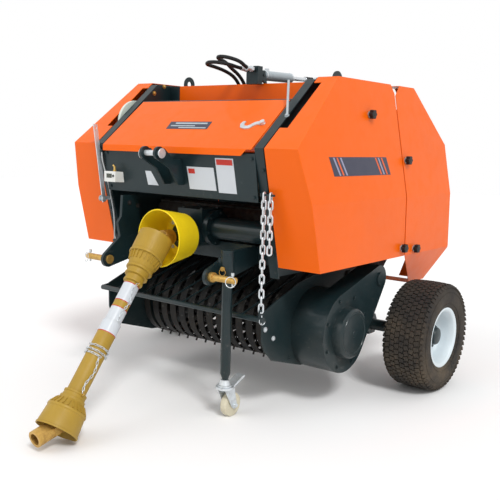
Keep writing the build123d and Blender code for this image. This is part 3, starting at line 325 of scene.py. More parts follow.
for name, values in paints.items():
    makeFinish(name, {**paintBase, **values}, paintSkin, wear["dustOnPaint"], Peel=wear["peel"])
for name, values in plastics.items():
    values = {**plasticBase, **values}
    makeFinish(name, values, mouldedGrain, wear["dustOnPlastic"], Grain=values["grain"], Scale=values["scale"])
for name, values in metals.items():
    values = {**metalBase, **values}
    makeFinish(name, values, platedSteel, 0.0, Tarnish_Colour=colour(*values["tarnish"]), Tarnish=values["amount"])
print("stage: finishes made,", len(finish))


# Node name to piece name: tyre_left becomes tyreLeft
def pieceName(node):
    first, *others = node.split("_")
    return first + "".join(word.capitalize() for word in others)


# Turns a bmesh into a piece that rides on its body
def finishMesh(bm, name, materialName, body="frame", sharp=35.0, bevel=0.0, segments=2, replaced=()):
    bmesh.ops.recalc_face_normals(bm, faces=bm.faces)
    mesh = bpy.data.meshes.new(name)
    bm.to_mesh(mesh)
    bm.free()
    mesh.shade_smooth()
    mesh.set_sharp_from_angle(angle=math.radians(sharp))
    piece = bpy.data.objects.new(name, mesh)
    bpy.context.scene.collection.objects.link(piece)
    mesh.materials.append(finish[materialName])
    if bevel:
        rounding = piece.modifiers.new("softEdges", "BEVEL")
        rounding.width = bevel
        rounding.segments = segments
        rounding.limit_method = "ANGLE"
        rounding.angle_limit = math.radians(32)
        rounding.harden_normals = True
    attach(piece, body)
    if replaced:
        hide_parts(*replaced)
    return piece


# Smooth copy of a CAD node with soft edges
def dressNode(node, materialName, bevel=0.0, segments=2, sharp=32.0):
    bm = bmesh.new()
    bm.from_mesh(frame["nodes"][node].data)
    bmesh.ops.remove_doubles(bm, verts=bm.verts, dist=0.00002)
    bmesh.ops.dissolve_limit(bm, angle_limit=math.radians(0.6), verts=bm.verts, edges=bm.edges)
    return finishMesh(bm, pieceName(node), materialName, nodeBody[node], sharp, bevel, segments, (node,))


# A direction square to an axis
def squareTo(axis):
    side = Vector((0, 0, 1)) if abs(axis.z) < 0.9 else Vector((0, 1, 0))
    return (side - axis * side.dot(axis)).normalized()


# Spins an open or closed profile of (along, radius) points round an axis
def turnedRing(bm, profile, centre, axis, steps=48):
    axis = Vector(axis).normalized()
    side = squareTo(axis)
    verts = [bm.verts.new(Vector(centre) + axis * along + side * radius) for along, radius in profile]
    edges = [bm.edges.new(pair) for pair in zip(verts, verts[1:])]
    bmesh.ops.spin(bm, geom=verts + edges, cent=centre, axis=axis, angle=math.tau, steps=steps, use_merge=True)
    bmesh.ops.remove_doubles(bm, verts=bm.verts, dist=0.00001)


# Round bar between two places, with its own end faces
def addBar(bm, start, end, radius, sides=16, narrow=None):
    start = Vector(start)
    end = Vector(end)
    way = end - start
    turn = way.to_track_quat("Z", "Y").to_matrix().to_4x4()
    place = Matrix.Translation((start + end) / 2) @ turn
    bmesh.ops.create_cone(bm, cap_ends=True, cap_tris=False, segments=sides, radius1=radius,
                          radius2=narrow if narrow is not None else radius, depth=way.length, matrix=place)


# Block of the given size in metres, turned about its centre
def addBlock(bm, centre, size, turn=Matrix.Identity(4)):
    bmesh.ops.create_cube(bm, size=1.0, matrix=Matrix.Translation(centre) @ turn @ Matrix.Diagonal((*size, 1.0)))


# Hexagon head on a washer, standing off a surface along way
def addBolt(bm, place, way, size=0.008, height=0.006, washer=True):
    way = Vector(way).normalized()
    place = Vector(place)
    if washer:
        addBar(bm, place - way * 0.0002, place + way * 0.0016, size * 1.35, 16)
    addBar(bm, place + way * 0.001, place + way * height, size, 6, size * 0.98)
    addBar(bm, place + way * height, place + way * (height + 0.0012), size * 0.8, 12, size * 0.6)


# Closed wire ring
def addRing(bm, centre, axis, ringRadius, wire, steps=28, sides=8):
    axis = Vector(axis).normalized()
    side = squareTo(axis)
    middle = Vector(centre) + side * ringRadius
    tangent = axis.cross(side)
    turn = tangent.to_track_quat("Z", "Y").to_matrix().to_4x4()
    made = bmesh.ops.create_circle(bm, segments=sides, radius=wire, matrix=Matrix.Translation(middle) @ turn)
    edges = list({edge for vert in made["verts"] for edge in vert.link_edges})
    bmesh.ops.spin(bm, geom=made["verts"] + edges, cent=centre, axis=axis, angle=math.tau, steps=steps,
                   use_merge=True)


# Circle of places round a line along x, in millimetres. Tall sets another height, for an oval
def circlePlaces(x, y, z, radius, count, start=0.5, tall=None):
    turns = [math.tau / count * (index + start) for index in range(count)]
    return [(x, y + radius * math.cos(turn), z + (tall or radius) * math.sin(turn)) for turn in turns]


# Round tube through places, made of rings that are bridged in turn
def tubeAlong(bm, path, radius, sides=10, closed=False):
    count = len(path)
    rings = []
    side = None
    for index, here in enumerate(path):
        before = path[index - 1] if index or closed else here
        after = path[(index + 1) % count] if index < count - 1 or closed else here
        way = (after - before).normalized()
        if side is None:
            side = way.orthogonal()
        side = (side - way * side.dot(way)).normalized()
        turn = Matrix((side, way.cross(side), way)).transposed().to_4x4()
        made = bmesh.ops.create_circle(bm, cap_ends=False, segments=sides, radius=radius,
                                       matrix=Matrix.Translation(here) @ turn)
        rings.append(list({edge for vert in made["verts"] for edge in vert.link_edges}))
    pairs = list(zip(rings, rings[1:]))
    if closed:
        pairs.append((rings[-1], rings[0]))
    for first, second in pairs:
        bmesh.ops.bridge_loops(bm, edges=first + second)
    if not closed:
        for ring in (rings[0], rings[-1]):
            bmesh.ops.holes_fill(bm, edges=ring, sides=0)


# Cords, each one smooth line through the same route as its solid (points in millimetres)
cords = {
    "hoseRight": {"node": "hose_right", "finish": "hoseRubber", "diameter": 0.013, "length": 0.480, "points": [
        (87, 276, 1158), (87, 240, 1158.6), (87, 186, 1166), (56.54, 155.54, 1172), (13.46, 155.54, 1173),
        (-17, 186, 1169), (-17, 232, 1165), (-17, 288, 1156), (-17, 338, 1141), (-17, 373, 1111), (-17, 385, 1075),
        (-17, 385, 1045)]},
    "hoseLeft": {"node": "hose_left", "finish": "hoseRubber", "diameter": 0.013, "length": 0.439, "points": [
        (113, 276, 1158), (113, 250, 1158.6), (113, 214, 1178), (82.54, 183.54, 1190), (39.46, 183.54, 1195),
        (9, 214, 1192), (9, 260, 1184), (9, 288, 1166), (9, 338, 1144), (9, 373, 1111), (9, 385, 1075),
        (9, 385, 1045)]},
    "counterCable": {"node": "counter_cable", "finish": "cableGrey", "diameter": 0.005, "length": 0.344, "points": [
        (-358, -1.783, 851), (-358, -1.783, 829), (-360, 10, 798), (-358, 27, 747), (-360, 43, 690),
        (-359, 55, 640), (-368, 69, 588), (-380, 79.636, 548), (-380, 79.636, 520)]},
}


def makeCord(name, values):
    curve = bpy.data.curves.new(name, "CURVE")
    curve.dimensions = "3D"
    spline = curve.splines.new("NURBS")
    spline.points.add(len(values["points"]) - 1)
    for point, place in zip(spline.points, values["points"]):
        point.co = (*mm(*place), 1.0)
    spline.order_u = 3
    spline.use_endpoint_u = True
    curve.resolution_u = 16
    curve.bevel_depth = values["diameter"] / 2
    curve.bevel_resolution = 4
    curve.use_fill_caps = True
    curve.materials.append(finish[values["finish"]])
    piece = bpy.data.objects.new(name, curve)
    bpy.context.scene.collection.objects.link(piece)
    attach(piece, "frame")
    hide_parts(values["node"])


for name, values in cords.items():
    makeCord(name, values)
print("stage: cords made")

# CAD nodes by finish, with edge radius in metres and segments
dressed = {
    "orangePaint": {"cover_front_left": (0.0006, 2), "cover_front_right": (0.0006, 2), "cover_rear_left": (0.0006, 2),
                    "cover_rear_right": (0.0006, 2), "hood": (0.0009, 2), "twine_box": (0.0008, 2)},
    "slatePaint": {"front_panel": (0.0012, 2), "frame_left": (0.0012, 2), "frame_right": (0.0012, 2),
                   "axle": (0.002, 2), "hitch_frame": (0.002, 2), "gearbox": (0.004, 3), "box_brackets": (0.001, 2),
                   "tailgate_frame": (0.0012, 2), "pickup_frame": (0.0012, 2), "wind_guard": (0.0006, 2),
                   "pickup_chaincase": (0.0012, 3), "jack_sleeve": (0.001, 2), "jack_leg": (0.001, 2)},
    "bandPaint": {"stripper_bands": (0.0007, 1), "feed_pan": (0.0006, 1)},
    "bareSteel": {"chamber_rollers": (0.0008, 1), "tailgate_rollers": (0.0008, 1), "joint_cross_near": (0.0, 2),
                  "joint_cross_far": (0.0, 2)},
    "tineSteel": {"pickup_reel": (0.0, 1)},
    "shieldYellow": {"drive_shield": (0.0008, 2)},
    "guardOlive": {"guard_upper": (0.0012, 2), "guard_lower": (0.0012, 2)},
    "yellowZinc": {"input_yoke": (0.0015, 2), "shaft_upper": (0.0015, 2), "shaft_lower": (0.0015, 2),
                   "end_yoke": (0.0015, 2), "hitch_pins": (0.001, 2)},
    "zincPlate": {"castor_fork": (0.0008, 2), "hand_lever": (0.0005, 1), "hood_latch": (0.0008, 2),
                  "top_link_pin": (0.001, 2)},
    "castorCream": {"castor_wheel": (0.001, 2)}, "caseWhite": {"bale_counter": (0.002, 3)},
    "knobBlack": {"cover_knobs_front": (0.001, 2), "cover_knobs_rear": (0.001, 2)},
    "discWhite": {"twine_disc": (0.001, 2)}, "ramPaint": {"ram_barrel": (0.001, 2)},
    "chromeRod": {"ram_rod": (0.001, 2)},
}
for materialName, nodes in dressed.items():
    for node, edge in nodes.items():
        dressNode(node, materialName, *edge)
print("stage: CAD nodes dressed")

# Wheels: tyre with turf blocks, dished rim, dark hub. Sizes in metres, profiles as (along the axle, radius)
wheel = {"x": 620, "y": 739, "z": 203, "radius": 0.203, "tread": 0.0045, "rows": 60, "columns": 7,
         "block": (0.0166, 0.0168, 0.010), "gap": 0.0022, "wave": 14.0, "crown": 0.75, "sunk": 0.0004,
         "shoulder": 0.0722, "shoulderBlock": (0.013, 0.01428, 0.010), "shoulderDrop": 0.0085, "shoulderLean": 42.0,
         "studs": 5, "studCircle": 0.056, "studStart": 0.3, "valve": 0.094}
tyreSide = [(-0.060, 0.106), (-0.068, 0.1075), (-0.0735, 0.114), (-0.0775, 0.124), (-0.0815, 0.138),
            (-0.0822, 0.152), (-0.0815, 0.164), (-0.0790, 0.176), (-0.0750, 0.1865), (-0.067, 0.1930),
            (-0.050, 0.1962), (-0.025, 0.1980)]
tyreLines = ((0.0792, 0.1275), (0.0808, 0.170))
rimFace = [(0.060, 0.1055), (0.066, 0.107), (0.0695, 0.112), (0.0725, 0.1125), (0.0735, 0.1105), (0.0722, 0.1035),
           (0.066, 0.0975), (0.040, 0.0945), (0.022, 0.0935), (0.012, 0.0905), (0.006, 0.084), (0.002, 0.070),
           (0.004, 0.052), (0.008, 0.042), (0.008, 0.020)]
rimBack = [(-0.060, 0.1055), (-0.066, 0.107), (-0.0695, 0.112), (-0.0725, 0.1125), (-0.0735, 0.1105),
           (-0.0722, 0.1035), (-0.066, 0.0975), (-0.020, 0.0955), (0.0, 0.0925), (0.004, 0.086), (-0.001, 0.070),
           (0.001, 0.052), (0.004, 0.042), (0.004, 0.020)]
hubFace = [(-0.052, 0.0128), (-0.052, 0.034), (-0.020, 0.037), (0.010, 0.045), (0.013, 0.044), (0.016, 0.037),
           (0.030, 0.035), (0.042, 0.033), (0.048, 0.029), (0.051, 0.018), (0.052, 0.0001)]


def makeTyre(side, body, node):
    centre = mm(side * wheel["x"], wheel["y"], wheel["z"])
    bm = bmesh.new()
    profile = [*tyreSide, (0.0, wheel["radius"] - wheel["tread"])]
    profile += [(-along, radius) for along, radius in reversed(tyreSide)]
    turnedRing(bm, profile, centre, (1, 0, 0), 96)
    for along, radius in tyreLines:
        for sign in (-1, 1):
            addRing(bm, centre + Vector((sign * along, 0, 0)), (1, 0, 0), radius, 0.0013, 72, 6)
    middle = (wheel["columns"] - 1) / 2
    for row in range(wheel["rows"]):
        for column in range(wheel["columns"] + 2):
            place = column - 1 - middle
            odd = column % 2 == 1
            turn = math.tau / wheel["rows"] * (row + 0.5 * odd)
            size = wheel["block"]
            along = place * (size[0] + wheel["gap"])
            outer = wheel["radius"] - wheel["sunk"] - wheel["crown"] * along * along
            tilt = 0.0
            if abs(place) > middle:
                size = wheel["shoulderBlock"]
                along = math.copysign(wheel["shoulder"], along)
                outer = wheel["radius"] - wheel["shoulderDrop"]
                tilt = math.copysign(math.radians(wheel["shoulderLean"]), along)
            local = Matrix.Translation((along, 0, outer - size[2] / 2))
            local = local @ Matrix.Rotation(math.radians(wheel["wave"] if odd else -wheel["wave"]), 4, "Z")
            addBlock(bm, centre, size, Matrix.Rotation(turn, 4, "X") @ local @ Matrix.Rotation(tilt, 4, "Y"))
    finishMesh(bm, pieceName(node) + "Tread", "tyreRubber", body, 28.0, 0.0012, 1, (node,))


# The dish opens outwards, so profiles are turned round on the right wheel
def makeRim(side, body, node):
    centre = mm(side * wheel["x"], wheel["y"], wheel["z"])
    bm = bmesh.new()
    whole = [(side * along, radius) for along, radius in (*reversed(rimBack), *rimFace, rimBack[-1])]
    turnedRing(bm, whole, centre, (1, 0, 0), 80)
    finishMesh(bm, pieceName(node) + "Dish", "rimPaint", body, 40.0, 0.0, 1, (node,))
    bm = bmesh.new()
    turnedRing(bm, [(side * along, radius) for along, radius in hubFace], centre, (1, 0, 0), 40)
    for index in range(wheel["studs"]):
        turn = math.tau / wheel["studs"] * index + wheel["studStart"]
        spot = Vector((side * 0.0085, wheel["studCircle"] * math.cos(turn), wheel["studCircle"] * math.sin(turn)))
        addBolt(bm, centre + spot, (side, 0, 0), 0.0085, 0.009)
    finishMesh(bm, pieceName(node) + "Hub", "slatePaint", body)
    bm = bmesh.new()
    valve = centre + Vector((side * 0.016, 0.0, wheel["valve"]))
    addBar(bm, valve, valve + Vector((side * 0.022, 0, -0.010)), 0.0042, 12, 0.0034)
    finishMesh(bm, pieceName(node) + "Valve", "knobBlack", body)


for side, name in ((1, "left"), (-1, "right")):
    makeTyre(side, "wheel_" + name, "tyre_" + name)
    makeRim(side, "wheel_" + name, "rim_" + name)
print("stage: wheels made")


# One closed wire link. Across is its flat side's direction, and along is the chain's
def addLink(bm, middle, across, along, link, steps, sides):
    reach = link["width"] / 2 - link["wire"]
    straight = (link["length"] - link["width"]) / 2
    path = []
    for step in range(steps):
        angle = math.tau * (step + 0.5) / steps
        lift = math.copysign(straight, math.sin(angle)) + reach * math.sin(angle)
        path.append(middle + across * (reach * math.cos(angle)) + along * lift)
    tubeAlong(bm, path, link["wire"], sides, True)


# Chain that limits the pickup: round links, turned a little more from link to link
chain = {"top": 745.0, "y": 14.0, "taut": (386.0, 16), "free": (412.0, 8), "pitch": 23.6, "wire": 0.003,
         "width": 0.020, "length": 0.036, "firstTurn": 12.0, "lastTurn": 40.0}


def addHangingLinks(bm, x, count):
    for index in range(count):
        turn = chain["firstTurn"] + (chain["lastTurn"] - chain["firstTurn"]) * index / (count - 1)
        turn = math.radians(turn + (90 if index % 2 == 0 else 0))
        middle = mm(x, chain["y"], chain["top"] - chain["pitch"] * (index + 0.5))
        addLink(bm, middle, Vector((math.cos(turn), math.sin(turn), 0)), Vector((0, 0, 1)), chain, 18, 8)


def makeChain():
    x, count = chain["taut"]
    bm = bmesh.new()
    addHangingLinks(bm, x, count)
    piece = finishMesh(bm, "liftChainLong", "zincPlate", "frame", 60.0, replaced=("lift_chain",))
    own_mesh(piece)
    bm = bmesh.new()
    addHangingLinks(bm, *chain["free"])
    finishMesh(bm, "liftChainFree", "zincPlate", "frame", 60.0)


makeChain()
print("stage: chain made")

# Drive shaft guards: ribs under each cup's shoulder, step rings, blank sleeves. Places are millimetres along the
# shaft from its near joint
shaft = {"near": (0.0, -75.0, 572.0), "way": (0.08368, -0.65376, -0.75206), "ribs": 22, "rib": (0.0035, 0.006, 0.026)}
upperRings = ([(72, 57.0), (72, 59.2), (77, 59.6), (80, 58.4), (81, 55.0)],
              [(125, 42.0), (126, 45.2), (132, 45.4), (134, 43.0), (134.5, 37.0)],
              [(149, 36.0), (150, 39.4), (155, 39.6), (157, 33.0), (157.5, 30.0)],
              [(172, 30.0), (173, 33.0), (179, 33.0), (181, 28.0), (181, 25.8)])
lowerRings = ([(574, 29.8), (575, 36.2), (581, 36.6), (583, 33.8)],
              [(594, 36.0), (595, 40.2), (602, 40.6), (604, 38.0)],
              [(630, 58.6), (631, 62.0), (637, 62.6), (641, 60.4), (642, 58.0)],
              [(693, 65.2), (694, 67.2), (700.4, 67.4), (700.5, 65.0)])
# Each sleeve: name, body, radius, first and last place, places of its red borders
sleeves = (("sleeveUpper", "upper_shaft", 26.0, 188.0, 256.0, (188.0, 253.5)),
           ("sleeveMiddle", "upper_shaft", 26.0, 278.0, 329.6, (278.0,)),
           ("sleeveLower", "lower_shaft", 30.0, 330.6, 372.0, (369.5,)))


def alongShaft(distance):
    return mm(*(start + way * distance for start, way in zip(shaft["near"], shaft["way"])))


def shaftRing(bm, profile, steps=56):
    turnedRing(bm, [(along / 1000, radius / 1000) for along, radius in profile], alongShaft(0), shaft["way"], steps)


def shaftRibs(bm, middle, radius, lean):
    way = Vector(shaft["way"])
    side = way.orthogonal().normalized()
    for index in range(shaft["ribs"]):
        out = Matrix.Rotation(math.tau / shaft["ribs"] * index, 3, way) @ side
        axes = Matrix((way.cross(out), out, way)).transposed().to_4x4()
        addBlock(bm, alongShaft(middle) + out * (radius / 1000), shaft["rib"],
                 axes @ Matrix.Rotation(math.radians(lean), 4, "X"))


def makeGuardTrim():
    for name, body, rings, ribs in (("guardUpperTrim", "upper_shaft", upperRings, (93.0, 50.6, 14)),
                                    ("guardLowerTrim", "lower_shaft", lowerRings, (618.0, 50.8, -34))):
        bm = bmesh.new()
        for profile in rings:
            shaftRing(bm, profile)
        shaftRibs(bm, *ribs)
        finishMesh(bm, name, "guardOlive", body, 35.0, 0.0006, 1)
    for name, body, radius, first, last, borders in sleeves:
        bm = bmesh.new()
        shaftRing(bm, [(first, radius), (first, radius + 0.5), (last, radius + 0.5), (last, radius)])
        finishMesh(bm, name, "labelWhite", body)
        bm = bmesh.new()
        for place in borders:
            shaftRing(bm, [(place, radius + 0.4), (place, radius + 0.8), (place + 2.5, radius + 0.8),
                           (place + 2.5, radius + 0.4)])
        finishMesh(bm, name + "Border", "labelRed", body)


makeGuardTrim()

# Thin chains of the two guard halves: one laid along its tube, one laid and then wound round the other. A strand is
# first and last place along the shaft, radius in millimetres, sideways sway in radians and how slowly it sways
guardChain = {"pitch": 0.0112, "wire": 0.0011, "width": 0.0085, "length": 0.0160, "side": (0.93, -0.02, 0.25),
              "upper": (186.0, 318.0, 29.4, 0.16, 22), "lower": (572.0, 452.0, 33.4, 0.14, 25), "turns": 2.25,
              "turnSteps": 120, "lead": 13.0, "slack": 0.12, "slackWaves": 0.7, "twist": (38, -52), "steps": 200}
guardClips = (("guardClipUpper", "upper_shaft", 182, 31), ("guardClipLower", "lower_shaft", 577, 36))


def guardPlace(distance, angle, radius):
    way = Vector(shaft["way"])
    side = Vector(guardChain["side"])
    side = (side - way * way.dot(side)).normalized()
    out = Matrix.Rotation(angle, 3, way) @ side
    return alongShaft(distance) + out * (radius / 1000), out


def guardStrand(first, last, radius, sway, slowness):
    steps = guardChain["steps"]
    return [guardPlace(first + (last - first) * step / steps, sway * math.sin(step / slowness), radius)
            for step in range(steps + 1)]


def addGuardLinks(bm, route):
    placed = 0
    gone = guardChain["pitch"]
    for (here, out), (after, _) in zip(route, route[1:]):
        gone += (after - here).length
        if gone < guardChain["pitch"]:
            continue
        gone -= guardChain["pitch"]
        way = (after - here).normalized()
        across = (out - way * out.dot(way)).normalized()
        across = Matrix.Rotation(math.radians(guardChain["twist"][placed % 2 == 0]), 3, way) @ across
        addLink(bm, here, across, way, guardChain, 10, 6)
        placed += 1


def makeGuardChains():
    bm = bmesh.new()
    addGuardLinks(bm, guardStrand(*guardChain["upper"]))
    finishMesh(bm, "guardChainUpper", "zincPlate", "upper_shaft", 60.0)
    route = guardStrand(*guardChain["lower"])
    _, last, radius, sway, slowness = guardChain["lower"]
    start = sway * math.sin(guardChain["steps"] / slowness)
    for step in range(1, int(guardChain["turns"] * guardChain["turnSteps"])):
        turn = step / guardChain["turnSteps"]
        slack = 1 + guardChain["slack"] * math.sin(math.tau * turn * guardChain["slackWaves"])
        route.append(guardPlace(last - guardChain["lead"] * turn * slack, start + math.tau * turn, radius))
    bm = bmesh.new()
    addGuardLinks(bm, route)
    finishMesh(bm, "guardChainLower", "zincPlate", "lower_shaft", 60.0)
    for name, body, distance, radius in guardClips:
        bm = bmesh.new()
        across = Vector(shaft["way"]).cross(Vector((1, 0, 0)))
        addRing(bm, guardPlace(distance, 0.0, radius)[0], across, 0.0065, 0.0013, 24, 8)
        finishMesh(bm, name, "yellowZinc", body, 60.0)


makeGuardChains()

# Rolled rims of the drive shield as (y, ring radius, wire radius, sides), and the screws that hold it
shield = {"z": 572, "rims": ((-60, 0.0965, 0.0024, 8), (55, 0.0768, 0.0016, 6)), "screwY": 53.5, "screwCircle": 60}
bm = bmesh.new()
for y, radius, wire, sides in shield["rims"]:
    addRing(bm, mm(0, y, shield["z"]), (0, 1, 0), radius, wire, 72, sides)
finishMesh(bm, "shieldRim", "shieldYellow", "frame", 60.0)
bm = bmesh.new()
for y, x, z in circlePlaces(shield["screwY"], 0, shield["z"], shield["screwCircle"], 4):
    addBolt(bm, mm(x, y, z), (0, -1, 0), 0.0055, 0.004)
finishMesh(bm, "shieldScrews", "zincPlate")
print("stage: drive shaft trimmed")

# Sloping sheets of the drawing: a known value, the place where it is known, and the fall from there
slopes = {"panel": (28, 713, 24 / 153), "hood": (880, -8, -163 / 201), "coverTop": (547, 719, 76 / 403),
          "coverFoot": (551, 502, 4 / 217)}
coverFold = 719
panelOut = Vector((0, -0.988, -0.155))
hoodOut = Vector((0, -0.630, 0.777))


def slopeAt(name, place):
    value, known, fall = slopes[name]
    return value - (place - known) * fall


def panelPlace(x, height):
    return mm(x, slopeAt("panel", height), height)


def hoodPlace(x, depth):
    return mm(x, depth, slopeAt("hood", depth))


def coverFace(height):
    return slopeAt("coverTop" if height > coverFold else "coverFoot", height)


def coverPlace(side, depth, height):
    return mm(side * coverFace(height), depth, height)


# Blank plates and stripes, as corners on their sheet. Bars and streaks are low, high, left and right
panelPlates = {"plateWide": ((57, 815.5), (176, 815.5), (182, 740), (63, 740)),
               "plateTall": ((186, 848), (262, 848), (268, 735), (192, 735)),
               "plateSmall": ((-146, 792), (-118, 792), (-86, 743), (-138, 743))}
panelBars = ((826, 844, 190, 258), (793, 809, 63, 92))
hoodPlate = ((-96, 66), (-101, 98), (91, 99), (95, 67))
hoodStreaks = ((88, 94, -70, 78), (78, 82, -84, 30), (70, 74, -40, 86))
coverBand = ((186, 801), (166, 862), (540, 862), (560, 801))
coverStripes = {"stripePale": (188, 230, 478), "stripeOrange": (208, 458, 500)}
plateThick = {"panel": 0.0008, "panelBar": 0.0003, "hood": 0.0007, "hoodStreak": 0.0002, "band": 0.0006,
              "stripe": 0.0003}


# Sheets of four corners each, raised from their surface by a thickness in metres
def makeSheets(name, materialName, body, sheets, out, thickness):
    bm = bmesh.new()
    for corners in sheets:
        face = bm.faces.new([bm.verts.new(corner) for corner in corners])
        made = bmesh.ops.extrude_face_region(bm, geom=[face])
        moved = [item for item in made["geom"] if isinstance(item, bmesh.types.BMVert)]
        bmesh.ops.translate(bm, vec=out.normalized() * thickness, verts=moved)
    finishMesh(bm, name, materialName, body)


def makePlates():
    for name, corners in panelPlates.items():
        makeSheets(name, "labelWhite", "frame", [[panelPlace(*corner) for corner in corners]], panelOut,
                   plateThick["panel"])
    sheets = [[panelPlace(x, height) + panelOut * plateThick["panel"] for x, height in
               ((left, high), (right, high), (right + 1, low), (left + 1, low))]
              for low, high, left, right in panelBars]
    makeSheets("plateBars", "labelRed", "frame", sheets, panelOut, plateThick["panelBar"])
    makeSheets("hoodPlate", "navyPlate", "hood", [[hoodPlace(*corner) for corner in hoodPlate]], hoodOut,
               plateThick["hood"])
    sheets = [[hoodPlace(x, depth) + hoodOut * plateThick["hood"] for x, depth in
               ((left, low), (left - 2, high), (right - 2, high), (right, low))]
              for low, high, left, right in hoodStreaks]
    makeSheets("hoodPlateStreaks", "ramPaint", "hood", sheets, hoodOut, plateThick["hoodStreak"])
    for side, word in ((1, "Left"), (-1, "Right")):
        out = Vector((side * 0.983, 0, 0.185))
        makeSheets("coverBand" + word, "navyPlate", "frame", [[coverPlace(side, *corner) for corner in coverBand]],
                   out, plateThick["band"])
        for stripe, starts in coverStripes.items():
            sheets = [[coverPlace(side, *corner) + out * plateThick["band"] for corner in
                       ((start + 30, 803), (start + 39, 803), (start + 9, 860), (start, 860))] for start in starts]
            makeSheets(stripe + word, stripe, "frame", sheets, out, plateThick["stripe"])


makePlates()
print("stage: blank plates made")

# Joggled lips behind the seam between front and rear covers
seam = {"profile": ((1.9, 648), (1.9, 656), (3.4, 660), (3.4, 678), (4.6, 678), (4.6, 648)),
        "heights": ((503, 551), (719, 547), (1034, 487.6))}


def makeSeamLips():
    for side, word in ((1, "Left"), (-1, "Right")):
        bm = bmesh.new()
        rings = []
        for height, outer in seam["heights"]:
            verts = [bm.verts.new(mm(side * (outer - inward), depth, height)) for inward, depth in seam["profile"]]
            rings.append([bm.edges.new(pair) for pair in zip(verts, verts[1:] + verts[:1])])
        for first, second in zip(rings, rings[1:]):
            bmesh.ops.bridge_loops(bm, edges=first + second)
        for ring in (rings[0], rings[-1]):
            bmesh.ops.holes_fill(bm, edges=ring, sides=0)
        finishMesh(bm, "seamLip" + word, "orangePaint")


makeSeamLips()

# Counter's window
bm = bmesh.new()
addBlock(bm, mm(-294, -22.3, 768), (0.028, 0.001, 0.015))
finishMesh(bm, "counterWindow", "windowDark", "frame", 35.0, 0.0002, 1)


# Small parts made of round bars: finish, edge radius, then start, end, radius and sides of each bar
def ferrule(x):
    return [((x, 283, 1158), (x, 272, 1158), 0.0105, 6), ((x, 273, 1158), (x, 250, 1158.4), 0.0082, 18)]


def hoseEnd(x):
    return [((x, 385, 1030), (x, 385, 1041), 0.0105, 6), ((x, 385, 1040), (x, 385, 1062), 0.0082, 18)]


barParts = {
    "counterButton": ("knobBlack", 0.0003, [((-272, -22, 768), (-272, -24, 768), 0.0045, 16)]),
    "counterFitting": ("brassFitting", 0.0, [((-280, -8, 783.5), (-280, -8, 789), 0.0062, 6),
                                             ((-280, -8, 788), (-280, -8, 801), 0.0042, 16),
                                             ((-280, -8, 800), (-288, -8, 806), 0.0032, 12)]),
    "ferruleRight": ("zincPlate", 0.0004, ferrule(87)), "ferruleLeft": ("zincPlate", 0.0004, ferrule(113)),
    "hoseEndFittings": ("zincPlate", 0.0004, hoseEnd(-17) + hoseEnd(9)),
}
for name, (materialName, bevel, bars) in barParts.items():
    bm = bmesh.new()
    for start, end, radius, sides in bars:
        addBar(bm, mm(*start), mm(*end), radius, sides)
    finishMesh(bm, name, materialName, "frame", 35.0, bevel, 1)

# Lobes and washers of the cover knobs. Places are (depth, height), and reaches stand off the cover
knobs = {"front": ((456, 1007), (637, 533)), "rear": ((688, 851), (737, 523)), "lobes": 6, "lobeCircle": 11.5,
         "lobe": (8, 21.6), "cap": (20, 23), "washer": (0.3, 2.2)}


def addKnobBar(bm, side, depth, height, foot, reach, radius, sides, narrow=None):
    start, end = (mm(side * (foot + stand), depth, height) for stand in reach)
    addBar(bm, start, end, radius, sides, narrow)


def makeKnobs():
    for row, body in (("front", "frame"), ("rear", "tailgate")):
        for side in (1, -1):
            lobes = bmesh.new()
            washers = bmesh.new()
            for depth, height in knobs[row]:
                foot = coverFace(height)
                for _, y, z in circlePlaces(0, depth, height, knobs["lobeCircle"], knobs["lobes"], 0.0):
                    addKnobBar(lobes, side, y, z, foot, knobs["lobe"], 0.0056, 12, 0.0048)
                addKnobBar(lobes, side, depth, height, foot, knobs["cap"], 0.008, 20, 0.006)
                addKnobBar(washers, side, depth, height, foot, knobs["washer"], 0.0115, 24)
            word = row.capitalize() + ("Left" if side > 0 else "Right")
            finishMesh(lobes, "knobLobes" + word, "knobBlack", body)
            finishMesh(washers, "knobWashers" + word, "zincPlate", body)


makeKnobs()


# Linch pins and their rings
def addLinch(bm, x, y, z, side):
    place = mm(x, y, z)
    addBar(bm, place + Vector((0, 0, -0.019)), place + Vector((0, 0, 0.020)), 0.0032, 12)
    addBar(bm, place + Vector((0, 0, 0.015)), place + Vector((0, 0, 0.024)), 0.0052, 12)
    lean = Vector((0.35 * side, -0.93, 0.12)).normalized()
    addRing(bm, place + Vector((side * 0.004, -0.0145, -0.003)), lean, 0.0165, 0.0014, 32, 8)


bm = bmesh.new()
addLinch(bm, 338, -73, 474, 1)
addLinch(bm, -338, -73, 474, -1)
addRing(bm, mm(-49, -96, 855), (1, 0.25, 0), 0.0155, 0.0013, 32, 8)
addBar(bm, mm(-49, -96, 872), mm(-49, -96, 846), 0.0022, 10)
finishMesh(bm, "linchPins", "zincPlate", "frame", 40.0)
bm = bmesh.new()
addRing(bm, mm(392, 14, 338), (0.9, -0.3, 0.2), 0.0105, 0.0013, 28, 8)
addBar(bm, mm(390, 14, 357), mm(390, 14, 327), 0.0022, 10)
addBolt(bm, mm(372, 58, 300), (1, 0, 0), 0.0065, 0.005)
addBolt(bm, mm(372, 104, 262), (1, 0, 0), 0.0065, 0.005)
finishMesh(bm, "guardBarClip", "zincPlate", "pickup", 40.0)
print("stage: counter, knobs and pins made")

# Twelve rollers on one ring round the chamber. The first has no bearing outside, the next six are the tailgate's
chamber = {"y": 610, "z": 720, "ring": 302, "firstTurn": 262, "stepTurn": 27, "rollers": 12, "lastOnTailgate": 6}

